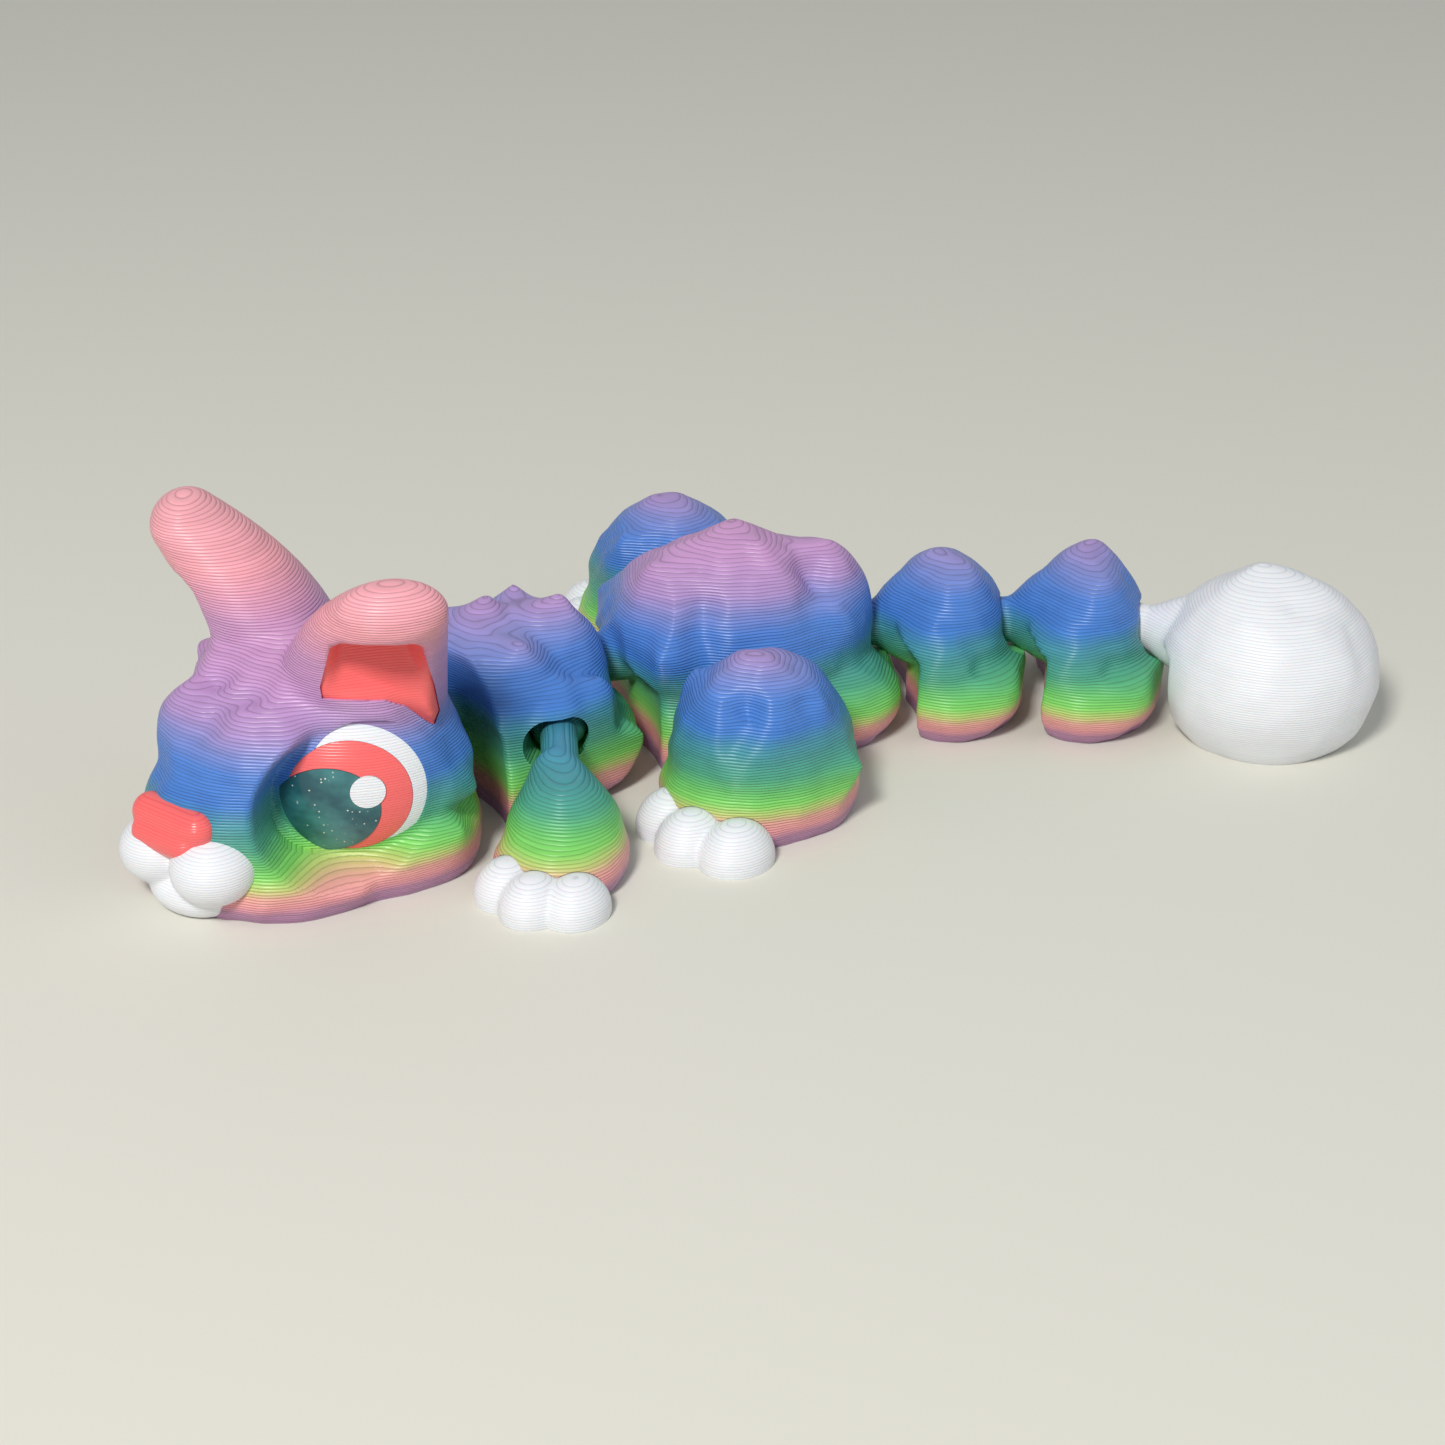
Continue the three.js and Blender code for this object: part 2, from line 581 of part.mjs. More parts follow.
function eyePocket(side) {
  const out = 6;
  const pockets = [WHITE_RIM, IRIS_RIM, PUPIL_RIM].map(
    (rim) => eyeRegion(rim, INLAY_GAP, out, EYE_DEPTH + INLAY_GAP));
  return onSide(side, union(...pockets));
}

function liningPrism(extra) {
  const grownOutline = LINING_OUTLINE.map(([x, y]) => {
    const length = Math.hypot(x, y);
    return [x * (1 + extra / length), y * (1 + extra / length)];
  });
  return facePrism(grownOutline, LINING_PLACE, EAR_FACING, 0, REACH);
}

function earLining(hand, side) {
  const lining = liningPrism(0).intersect(earHorn(1, -LINING_SINK))
    .subtract(earHorn(1, -LINING_SINK - LINING_DEPTH));
  return part(`${hand}_inner_ear`, onSide(side, lining), CORAL);
}

function liningPocket(side) {
  return onSide(side, liningPrism(INLAY_GAP)
    .subtract(earHorn(1, -LINING_SINK - LINING_DEPTH - INLAY_GAP)));
}

function nosePocket() {
  return heap(NOSE_HEAP, { around: 14, down: 8, bed: false, extra: INLAY_GAP });
}

function muzzlePocket() {
  return heap(MUZZLE_HEAP, { around: 16, down: 10, blend: 10, bed: false, extra: INLAY_GAP });
}

function head() {
  const shell = union(trimRear(heap(HEAD_HEAP), 0, HEAD_OUTLINE), earHorn(1), earHorn(-1))
    .subtract(union(nosePocket(), muzzlePocket())).subtract(chainSocket(0, HEAD_SWING));
  const cuts = union(eyePocket(1), eyePocket(-1), liningPocket(1), liningPocket(-1));
  return part('head_shell', shell.subtract(cuts), RAINBOW);
}

function muzzle() {
  const lobes = heap(MUZZLE_HEAP, { around: 16, down: 10, blend: 10 });
  return part('muzzle', lobes.subtract(nosePocket()), WHITE);
}

function nose() {
  return part('nose', heap(NOSE_HEAP, { around: 14, down: 8 }), CORAL);
}

function face() {
  const pieces = [head(), muzzle(), nose()];
  for (const [hand, side] of HANDS) pieces.push(...eye(hand, side), earLining(hand, side));
  return pieces;
}

// ---- assembly ----------------------------------------------------------------------------------
function turned(x, y, degrees, ...children) {
  const group = new THREE.Group();
  group.position.set(x, y, 0);
  group.rotation.z = radians(degrees);
  group.add(...children);
  return group;
}

const puffGroup = turned(TAIL_PITCH, 0, PUFF_TURN, tailPuff());
const tailGroup2 = turned(TAIL_PITCH, 0, TAIL_TURN_2, tailLink('tail_link_2', TAIL_OUTLINE), puffGroup);
const tailGroup1 = turned(RUMP_REAR_JOINT, 0, TAIL_TURN_1, tailLink('tail_link_1', RUMP_OUTLINE),
  tailGroup2);
const headGroup = turned(-CHEST_PITCH, 0, HEAD_TURN, ...face());
const chestGroup = turned(-RUMP_FRONT_JOINT, 0, CHEST_TURN, chest(), headGroup);
const rumpGroup = turned(0, 0, RUMP_TURN, rump(), chestGroup, tailGroup1);
for (const [hand, side] of HANDS) {
  chestGroup.add(legGroup(FRONT_LEG_PLACE, side, FRONT_LEG_TURN, frontLeg(hand, side)));
  rumpGroup.add(legGroup(REAR_LEG_PLACE, side, REAR_LEG_TURN[hand], rearLeg(hand, side)));
}

const bunny = new THREE.Group();
bunny.add(rumpGroup);

export default bunny;
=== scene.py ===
"""Looks of an articulated, print-in-place toy bunny in colour-changing filament.

Every piece is shaped in millimetres in its own frame, as soft clay made of eggs and tapered horns,
then fused, smoothed, trimmed and put where the frame's joints say. Heights are above the bed.
"""

import json
import logging
import math
from collections.abc import Callable, Sequence
from dataclasses import dataclass, field
from enum import Enum

import bmesh
import bpy
import numpy as np
from mathutils import Matrix, Vector


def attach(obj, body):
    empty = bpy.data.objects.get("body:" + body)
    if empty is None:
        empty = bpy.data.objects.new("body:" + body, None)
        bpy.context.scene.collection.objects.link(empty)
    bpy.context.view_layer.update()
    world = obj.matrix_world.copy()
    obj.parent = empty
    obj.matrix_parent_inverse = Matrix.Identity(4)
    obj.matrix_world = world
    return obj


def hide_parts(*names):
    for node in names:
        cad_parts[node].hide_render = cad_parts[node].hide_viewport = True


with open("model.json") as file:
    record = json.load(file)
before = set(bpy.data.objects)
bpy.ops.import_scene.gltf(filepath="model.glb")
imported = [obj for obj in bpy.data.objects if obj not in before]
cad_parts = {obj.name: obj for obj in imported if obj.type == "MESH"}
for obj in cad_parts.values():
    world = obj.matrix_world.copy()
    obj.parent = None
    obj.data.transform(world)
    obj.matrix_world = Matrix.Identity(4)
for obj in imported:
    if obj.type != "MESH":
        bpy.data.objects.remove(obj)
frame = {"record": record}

Vec = tuple[float, float, float]
Flat = tuple[float, float]
LOG = logging.getLogger("bunny")

MM = 0.001
REACH = 60.0
BED = 0.0


class Side(Enum):
    """The bunny's own left and right, as the sign of Y."""

    LEFT = -1
    RIGHT = 1

    @property
    def word(self) -> str:
        """The side's name as the pieces spell it."""
        return self.name.lower()


class Slot(Enum):
    """The record's material slots."""

    RAINBOW = "rainbow_filament"
    WHITE = "white_filament"
    CORAL = "coral_filament"
    TEAL = "glitter_teal"


# ---- shader wiring -------------------------------------------------------------------------------
class Wire:
    """One output socket that Python's own operators work on."""

    def __init__(self, board: "Board", socket: bpy.types.NodeSocket) -> None:
        """Wraps a socket.

        Args:
            board: the material's board.
            socket: the output socket.
        """
        self.board = board
        self.socket = socket

    def _math(self, operation: str, *values: "Wire | float") -> "Wire":
        """Adds a Math node.

        Args:
            operation: the Math node's operation.
            values: what goes into it, in order.

        Returns:
            The node's result.
        """
        node = self.board.node("ShaderNodeMath", {"operation": operation}, dict(enumerate(values)))
        return Wire(self.board, node.outputs[0])

    def __add__(self, other: "Wire | float") -> "Wire":
        """Sum."""
        return self._math("ADD", self, other)

    def __radd__(self, other: float) -> "Wire":
        """Sum, from the right."""
        return self._math("ADD", other, self)

    def __sub__(self, other: "Wire | float") -> "Wire":
        """Difference."""
        return self._math("SUBTRACT", self, other)

    def __rsub__(self, other: float) -> "Wire":
        """Difference, from the right."""
        return self._math("SUBTRACT", other, self)

    def __mul__(self, other: "Wire | float") -> "Wire":
        """Product."""
        return self._math("MULTIPLY", self, other)

    def __rmul__(self, other: float) -> "Wire":
        """Product, from the right."""
        return self._math("MULTIPLY", other, self)

    def __truediv__(self, other: "Wire | float") -> "Wire":
        """Quotient."""
        return self._math("DIVIDE", self, other)

    def __pow__(self, other: float) -> "Wire":
        """Power."""
        return self._math("POWER", self, other)

    def floor(self) -> "Wire":
        """The whole number below."""
        return self._math("FLOOR", self)

    def fraction(self) -> "Wire":
        """What is left over the whole number below."""
        return self._math("FRACT", self)

    def magnitude(self) -> "Wire":
        """The value without its sign."""
        return self._math("ABSOLUTE", self)

    def above(self, edge: float) -> "Wire":
        """1 where the value is more than an edge, else 0."""
        return self._math("GREATER_THAN", self, edge)

    def step(self, low: float, high: float) -> "Wire":
        """A smooth step from 0 to 1.

        Args:
            low: where it starts.
            high: where it ends.

        Returns:
            The stepped value.
        """
        node = self.board.node(
            "ShaderNodeMapRange", {"interpolation_type": "SMOOTHSTEP"},
            {"Value": self, "From Min": low, "From Max": high})
        return Wire(self.board, node.outputs[0])


class Board:
    """A material and the nodes that are wired in it."""

    def __init__(self, name: str) -> None:
        """Makes an empty material.

        Args:
            name: the material's name.
        """
        self.material = bpy.data.materials.new(name)
        self.material.use_nodes = True
        self.tree = self.material.node_tree
        self.tree.nodes.clear()

    def node(self, kind: str, settings: dict[str, object] | None = None,
             sockets: dict[str | int, object] | None = None) -> bpy.types.Node:
        """Adds one node.

        Args:
            kind: the node's type.
            settings: attributes that are set first, or "stops" for a ramp.
            sockets: values or wires, by socket name or number.

        Returns:
            The node.
        """
        node = self.tree.nodes.new(kind)
        for key, value in (settings or {}).items():
            if key == "stops":
                self._stops(node.color_ramp, value)
            else:
                setattr(node, key, value)
        for key, value in (sockets or {}).items():
            if isinstance(value, Wire):
                self.tree.links.new(value.socket, node.inputs[key])
            else:
                node.inputs[key].default_value = value
        return node

    @staticmethod
    def _stops(ramp: bpy.types.ColorRamp, stops: Sequence[tuple[float, Vec]]) -> None:
        """Sets a ramp's colours.

        Args:
            ramp: the ramp.
            stops: places from 0 to 1 and linear colours.
        """
        while len(ramp.elements) > 1:
            ramp.elements.remove(ramp.elements[-1])
        for number, (place, colour) in enumerate(stops):
            element = ramp.elements[0] if number == 0 else ramp.elements.new(place)
            element.position = place
            element.color = (*colour, 1.0)

    def wire(self, node: bpy.types.Node, output: str | int = 0) -> Wire:
        """One output of a node, ready for maths."""
        return Wire(self, node.outputs[output])

    def place(self) -> Wire:
        """The point on the object, in metres."""
        return self.wire(self.node("ShaderNodeTexCoord"), "Object")

    def axis(self, vector: Wire, name: str) -> Wire:
        """One of a vector's X, Y and Z."""
        return self.wire(self.node("ShaderNodeSeparateXYZ", {}, {0: vector}), name)

    def stretched(self, vector: Wire, scale: Vec) -> Wire:
        """A point with each axis scaled."""
        return self.wire(self.node(
            "ShaderNodeMapping", {}, {"Vector": vector, "Scale": scale}))

    def noise(self, vector: Wire, scale: float, detail: float = 2.0) -> Wire:
        """Smooth noise from 0 to 1 at a point."""
        return self.wire(self.node(
            "ShaderNodeTexNoise", {}, {"Vector": vector, "Scale": scale, "Detail": detail}))

    def blend(self, factor: Wire | float, first: object, second: object, way: str = "MIX") -> Wire:
        """Two colours mixed.

        Args:
            factor: how much of the second.
            first: a colour or a wire.
            second: a colour or a wire.
            way: the Mix node's blend type.

        Returns:
            The mixed colour.
        """
        node = self.node("ShaderNodeMix", {"data_type": "RGBA", "blend_type": way},
                         {0: factor, 6: first, 7: second})
        return self.wire(node, 2)

    def plastic(self, inputs: dict[str, object]) -> bpy.types.Material:
        """Ends the board in one Principled shader.

        Args:
            inputs: the shader's sockets.

        Returns:
            The finished material.
        """
        shader = self.node("ShaderNodeBsdfPrincipled", {}, inputs)
        output = self.node("ShaderNodeOutputMaterial")
        self.tree.links.new(shader.outputs[0], output.inputs[0])
        return self.material


def linear(red: int, green: int, blue: int) -> Vec:
    """A screen colour as the linear one that a shader takes."""
    return tuple(
        value / 255 / 12.92 if value <= 10 else ((value / 255 + 0.055) / 1.055) ** 2.4
        for value in (red, green, blue))


# ---- finishes ------------------------------------------------------------------------------------
@dataclass(frozen=True)
class Layers:
    """The lines that a print's layers leave: round beads with a fine groove between them."""

    pitch: float = 0.2
    depth: float = 0.05
    groove: float = 0.3
    wander: float = 0.022

    def height(self, board: Board) -> tuple[Wire, Wire, Wire]:
        """The bead's profile and what varies with it.

        Args:
            board: the material's board.

        Returns:
            The profile from 0 in a groove to 1 on a bead, the layer's number, and the streaks
            along the beads.
        """
        point = board.place()
        drift = board.noise(board.stretched(point, (260.0, 260.0, 900.0)), 1.0, 1.0) - 0.5
        layer = board.axis(point, "Z") / (self.pitch * MM) + drift * (self.wander / self.pitch * 4)
        across = (layer.fraction() - 0.5) * 2.0
        bead = 1.0 - across.magnitude() ** 2.6
        streaks = board.noise(board.stretched(point, (420.0, 420.0, 5200.0)), 1.0, 2.0)
        return bead, layer.floor(), streaks

    def bump(self, board: Board, bead: Wire, streaks: Wire, strength: float) -> Wire:
        """The normal that the beads give.

        Args:
            board: the material's board.
            bead: the profile from 0 to 1.
            streaks: the noise along the beads.
            strength: the bump's strength.

        Returns:
            The bent normal.
        """
        height = bead + (streaks - 0.5) * 0.35
        return board.wire(board.node("ShaderNodeBump", {}, {
            "Strength": strength, "Distance": self.depth * MM, "Height": height}))


@dataclass(frozen=True)
class RainbowFinish:
    """Satin filament whose colour changes with height, the same way on every link, with painted shade
    darkening the grooves between its beads.
    """

    layers: Layers = Layers()
    top: float = 26.0
    roughness: float = 0.38
    stops: tuple[tuple[float, tuple[int, int, int]], ...] = (
        (0.0, (176, 132, 172)), (0.9, (188, 136, 172)), (1.6, (240, 160, 166)), (2.3, (238, 170, 158)),
        (2.9, (196, 206, 122)), (3.6, (134, 218, 104)), (4.4, (112, 204, 112)), (5.6, (82, 172, 140)),
        (6.8, (74, 156, 154)), (7.7, (72, 150, 176)), (8.8, (68, 128, 212)), (10.8, (84, 134, 218)),
        (12.0, (132, 144, 214)), (13.2, (182, 150, 208)), (15.0, (200, 152, 204)),
        (18.0, (210, 156, 200)), (19.6, (232, 164, 192)), (21.4, (252, 172, 184)),
        (26.0, (255, 178, 188)),
    )

    def material(self) -> bpy.types.Material:
        """Wires the material."""
        board = Board("rainbow_filament")
        bead, layer, streaks = self.layers.height(board)
        point = board.place()
        sway = (board.noise(board.stretched(point, (90.0, 90.0, 90.0)), 1.0, 1.0) - 0.5) * 0.0006
        climb = (board.axis(point, "Z") + sway) / (self.top * MM)
        ramp = board.node(
            "ShaderNodeValToRGB",
            {"stops": [(height / self.top, linear(*colour)) for height, colour in self.stops]},
            {"Fac": climb})
        chance = board.wire(board.node(
            "ShaderNodeTexWhiteNoise", {"noise_dimensions": "1D"}, {"W": layer}))
        colour = board.wire(ramp)
        tone = 0.93 + chance * 0.10 + (streaks - 0.5) * 0.25
        # Painted shade: the colour is darkened down to 70% in the grooves between beads, where shade
        # falls; tone is the layers' own random variation.
        groove = bead.step(0.0, 0.6) * 0.30 + 0.70
        tone_and_painted_shade = tone * groove
        colour_with_painted_shade = board.blend(1.0, colour, board.wire(board.node(
            "ShaderNodeCombineColor", {}, {0: tone_and_painted_shade, 1: tone_and_painted_shade, 2: tone_and_painted_shade})), "MULTIPLY")
        return board.plastic({
            "Base Color": colour_with_painted_shade, "Roughness": self.roughness + (streaks - 0.5) * 0.18,
            "Specular IOR Level": 0.5, "Normal": self.layers.bump(board, bead, streaks, 1.0)})


@dataclass(frozen=True)
class PlainFinish:
    """Satin filament of one colour, with painted shade in the grooves between its beads."""

    name: str
    colour: tuple[int, int, int]
    # groove: the darker colour painted into the grooves between beads as shade.
    groove: tuple[int, int, int]
    layers: Layers = Layers()
    roughness: float = 0.38
    strength: float = 0.8
    glow: float = 0.0

    def material(self) -> bpy.types.Material:
        """Wires the material."""
        board = Board(self.name)
        bead, layer, streaks = self.layers.height(board)
        chance = board.wire(board.node(
            "ShaderNodeTexWhiteNoise", {"noise_dimensions": "1D"}, {"W": layer}))
        # Painted shade: the grooves between beads take the darker groove colour; the beads also vary in
        # tone at random from layer to layer.
        fill = bead.step(0.0, 0.6) * (0.86 + chance * 0.14)
        colour = board.blend(fill, (*linear(*self.groove), 1.0), (*linear(*self.colour), 1.0))
        return board.plastic({
            "Base Color": colour, "Roughness": self.roughness + (streaks - 0.5) * 0.2,
            "Subsurface Weight": self.glow, "Subsurface Scale": 0.6 * MM,
            "Normal": self.layers.bump(board, bead, streaks, self.strength)})


@dataclass(frozen=True)
class GlitterFinish:
    """Dark see-through filament with fine glitter in it."""

    deep: tuple[int, int, int] = (22, 78, 88)
    shallow: tuple[int, int, int] = (70, 138, 140)
    flake: float = 3600.0
    roughness: float = 0.3

    def material(self) -> bpy.types.Material:
        """Wires the material."""
        board = Board("glitter_teal")
        point = board.place()
        murk = board.noise(board.stretched(point, (300.0, 300.0, 380.0)), 1.0, 3.0).step(0.3, 0.75)
        base = board.blend(murk, (*linear(*self.deep), 1.0), (*linear(*self.shallow), 1.0))
        cells = board.node("ShaderNodeTexVoronoi", {"feature": "F1"},
                           {"Vector": point, "Scale": self.flake})
        near = 1.0 - board.wire(cells, "Distance").step(0.12, 0.3)
        lucky = board.axis(board.wire(cells, "Color"), "X").above(0.86)
        flakes = near * lucky
        colour = board.blend(flakes, base, (*linear(236, 240, 226), 1.0))
        return board.plastic({
            "Base Color": colour, "Roughness": self.roughness - flakes * 0.15, "Coat Weight": 0.4,
            "Metallic": flakes * 0.6})


@dataclass(frozen=True)
class FloorFinish:
    """A plain pale tabletop."""

    colour: tuple[int, int, int] = (226, 224, 214)

    def material(self) -> bpy.types.Material:
        """Wires the material."""
        board = Board("tabletop")
        return board.plastic({"Base Color": (*linear(*self.colour), 1.0), "Roughness": 0.75})


class Palette:
    """The finished materials, by slot."""

    def __init__(self) -> None:
        """Makes every material once."""
        self.by_slot = {
            Slot.RAINBOW: RainbowFinish().material(),
            # The second colour of each plain finish is the painted shade that its grooves between beads
            # take.
            Slot.WHITE: PlainFinish(
                "white_filament", (240, 242, 247), (214, 217, 228), strength=0.5, glow=0.1).material(),
            Slot.CORAL: PlainFinish("coral_filament", (250, 112, 112), (236, 84, 86), strength=0.35,
                                    roughness=0.3).material(),
            Slot.TEAL: GlitterFinish().material(),
        }


# ---- clay ----------------------------------------------------------------------------------------
@dataclass(frozen=True)
class Egg:
    """An ellipsoid of clay: middle, half sizes, and its turn about Z in degrees."""

    at: Vec
    size: Vec
    turn: float = 0.0

    def mirrored(self, side: Side) -> "Egg":
        """The same egg on the other side."""
        return Egg((self.at[0], self.at[1] * side.value, self.at[2]), self.size, self.turn * side.value)


@dataclass(frozen=True)
class Horn:
    """A tapered lock of clay from a thick root to a fine tip."""

    root: Vec
    tip: Vec
    thick: float
    fine: float = 0.55

    def mirrored(self, side: Side) -> "Horn":
        """The same horn on the other side."""
        flip = side.value
        return Horn((self.root[0], self.root[1] * flip, self.root[2]),
                    (self.tip[0], self.tip[1] * flip, self.tip[2]), self.thick, self.fine)


Lump = Egg | Horn


@dataclass(frozen=True)
class Lock:
    """A lock of fur pulled out of the skin: the skin is drawn to its tip, and a ridge that fades
    runs down from there to its foot. A tip under the skin presses a groove instead."""

    tip: Vec
    foot: Vec
    width: float
    point: float = 1.6

    def mirrored(self, side: Side) -> "Lock":
        """The same lock on the other side."""
        flip = side.value
        return Lock((self.tip[0], self.tip[1] * flip, self.tip[2]),
                    (self.foot[0], self.foot[1] * flip, self.foot[2]), self.width, self.point)


@dataclass(frozen=True)
class Place:
    """Where a piece's own frame stands: a joint's place in millimetres and a turn in degrees."""

    x: float
    y: float
    turn: float


def settle() -> None:
    """Leaves edit mode and deselects everything."""
    if bpy.context.object and bpy.context.object.mode != "OBJECT":
        bpy.ops.object.mode_set(mode="OBJECT")
    bpy.ops.object.select_all(action="DESELECT")


def pick(obj: bpy.types.Object) -> None:
    """Makes one object the only one selected and active."""
    settle()
    obj.select_set(True)
    bpy.context.view_layer.objects.active = obj


def freeze(obj: bpy.types.Object) -> None:
    """Applies an object's place, turn and scale to its mesh."""
    pick(obj)
    bpy.ops.object.transform_apply(location=True, rotation=True, scale=True)


def outward(obj: bpy.types.Object) -> None:
    """Merges doubles and turns all faces outwards."""
    pick(obj)
    bpy.ops.object.mode_set(mode="EDIT")
    bpy.ops.mesh.select_all(action="SELECT")
    bpy.ops.mesh.remove_doubles(threshold=0.0001)
    bpy.ops.mesh.normals_make_consistent(inside=False)
    bpy.ops.object.mode_set(mode="OBJECT")


def ball(at: Vec, radius: float, segments: int = 48) -> bpy.types.Object:
    """A round ball.

    Args:
        at: its middle.
        radius: its radius.
        segments: how many faces go round it.

    Returns:
        The ball.
    """
    settle()
    bpy.ops.mesh.primitive_uv_sphere_add(
        segments=segments, ring_count=segments // 2, radius=radius, location=at)
    obj = bpy.context.object
    freeze(obj)
    return obj


def egg(lump: Egg) -> bpy.types.Object:
    """An egg as a mesh."""
    settle()
    bpy.ops.mesh.primitive_uv_sphere_add(
        segments=48, ring_count=24, radius=1.0, location=lump.at,
        rotation=(0.0, 0.0, math.radians(lump.turn)), scale=lump.size)
    obj = bpy.context.object
    freeze(obj)
    return obj


def horn(lump: Horn) -> bpy.types.Object:
    """A horn as a mesh: a ball at the root, drawn out to a smaller ball at the tip."""
    root, tip = Vector(lump.root), Vector(lump.tip)
    run = tip - root
    reach = run.length
    lean = math.asin(max(-0.99, min(0.99, (lump.thick - lump.fine) / reach)))
    near = lump.thick * math.sin(lean)
    far = reach + lump.fine * math.sin(lean)
    settle()
    bpy.ops.mesh.primitive_cone_add(
        vertices=32, radius1=lump.thick * math.cos(lean), radius2=lump.fine * math.cos(lean),
        depth=far - near, location=root + run.normalized() * (near + far) / 2,
        rotation=run.to_track_quat("Z", "Y").to_euler())
    cone = bpy.context.object
    freeze(cone)
    ends = [ball(lump.root, lump.thick, 32), ball(lump.tip, lump.fine, 16)]
    return joined([cone, *ends])


def joined(objects: Sequence[bpy.types.Object]) -> bpy.types.Object:
    """Several meshes as one object."""
    pick(objects[0])
    for obj in objects[1:]:
        obj.select_set(True)
    bpy.ops.object.join()
    return bpy.context.object


def prism(points: Sequence[Flat], low: float, high: float) -> bpy.types.Object:
    """A flat outline raised into a solid.

    Args:
        points: the outline in plan.
        low: the height that it starts at.
        high: the height that it ends at.

    Returns:
        The solid.
    """
    settle()
    bpy.ops.mesh.primitive_circle_add(vertices=len(points), radius=1.0, fill_type="NGON")
    obj = bpy.context.object
    for vertex, (x, y) in zip(obj.data.vertices, points):
        vertex.co = (x, y, low)
    bpy.ops.object.mode_set(mode="EDIT")
    bpy.ops.mesh.select_all(action="SELECT")
    bpy.ops.mesh.extrude_region_move(TRANSFORM_OT_translate={"value": (0.0, 0.0, high - low)})
    bpy.ops.object.mode_set(mode="OBJECT")
    outward(obj)
    return obj


def fence(joint: float, radius: Callable[[float, float], float], low: float = -1.0,
          high: float = 30.0) -> bpy.types.Object:
    """A solid round an upright axis whose radius changes with the direction and the height.

    Args:
        joint: the axis's place along X.
        radius: the radius for degrees from straight back and a height.
        low: the solid's lowest height.
        high: its highest.

    Returns:
        The solid.
    """
    settle()
    bpy.ops.mesh.primitive_cylinder_add(vertices=120, radius=1.0, depth=high - low,
                                        location=(0.0, 0.0, (high + low) / 2))
    obj = bpy.context.object
    freeze(obj)
    pick(obj)
    bpy.ops.object.mode_set(mode="EDIT")
    mesh = bmesh.from_edit_mesh(obj.data)
    for edge in mesh.edges:
        edge.select = abs(edge.verts[0].co.z - edge.verts[1].co.z) > 1.0
    mesh.select_flush(False)
    for edge in mesh.edges:
        edge.select = abs(edge.verts[0].co.z - edge.verts[1].co.z) > 1.0
    bmesh.update_edit_mesh(obj.data)
    bpy.ops.mesh.subdivide(number_cuts=int(high - low) * 2 - 1)
    bpy.ops.object.mode_set(mode="OBJECT")
    for vertex in obj.data.vertices:
        angle = math.atan2(vertex.co.y, vertex.co.x)
        reach = radius(math.degrees(angle), vertex.co.z)
        vertex.co = (joint + reach * math.cos(angle), reach * math.sin(angle), vertex.co.z)
    return obj


def rim_distance(spots: np.ndarray, outline: Sequence[Flat]) -> np.ndarray:
    """How far spots are from a closed outline; less than 0 within it.

    Args:
        spots: rows of X and Y.
        outline: the outline's corners.

    Returns:
        The distances.
    """
    best = np.full(len(spots), REACH)
    within = np.zeros(len(spots), bool)
    for first, second in zip(outline, (*outline[1:], outline[0])):
        start, run = np.array(first), np.array(second) - np.array(first)
        along = np.clip(((spots - start) @ run) / (run @ run), 0.0, 1.0)
        best = np.minimum(best, np.linalg.norm(spots - start - along[:, None] * run, axis=1))
        crosses = (first[1] > spots[:, 1]) != (second[1] > spots[:, 1])
        slope = run[0] / run[1] if run[1] else 0.0
        within ^= crosses & (spots[:, 0] < first[0] + (spots[:, 1] - first[1]) * slope)
    return np.where(within, -best, best)


@dataclass(frozen=True)
class Face:
    """An upright face on a side of the head; X runs towards the tail, Y up and Z outwards."""

    at: Vec
    facing: float
    side: Side

    def frame(self) -> Matrix:
        """The face's own axes as a matrix."""
        turn = math.radians(self.facing)
        flip = self.side.value
        return Matrix((
            (math.sin(turn), 0.0, -math.cos(turn), self.at[0]),
            (math.cos(turn) * flip, 0.0, math.sin(turn) * flip, self.at[1] * flip),
            (0.0, 1.0, 0.0, self.at[2]),
            (0.0, 0.0, 0.0, 1.0)))

    def flatten(self, points: np.ndarray) -> np.ndarray:
        """Points in the head's frame, in the face's own."""
        frame_ = np.array(self.frame())
        return (points - frame_[:3, 3]) @ frame_[:3, :3]

    def raise_(self, flat: np.ndarray) -> np.ndarray:
        """Points in the face's frame, in the head's."""
        frame_ = np.array(self.frame())
        return flat @ frame_[:3, :3].T + frame_[:3, 3]

    def stand(self, tool: bpy.types.Object) -> bpy.types.Object:
        """Stands a tool on the face."""
        tool.data.transform(self.frame())
        outward(tool)
        return tool


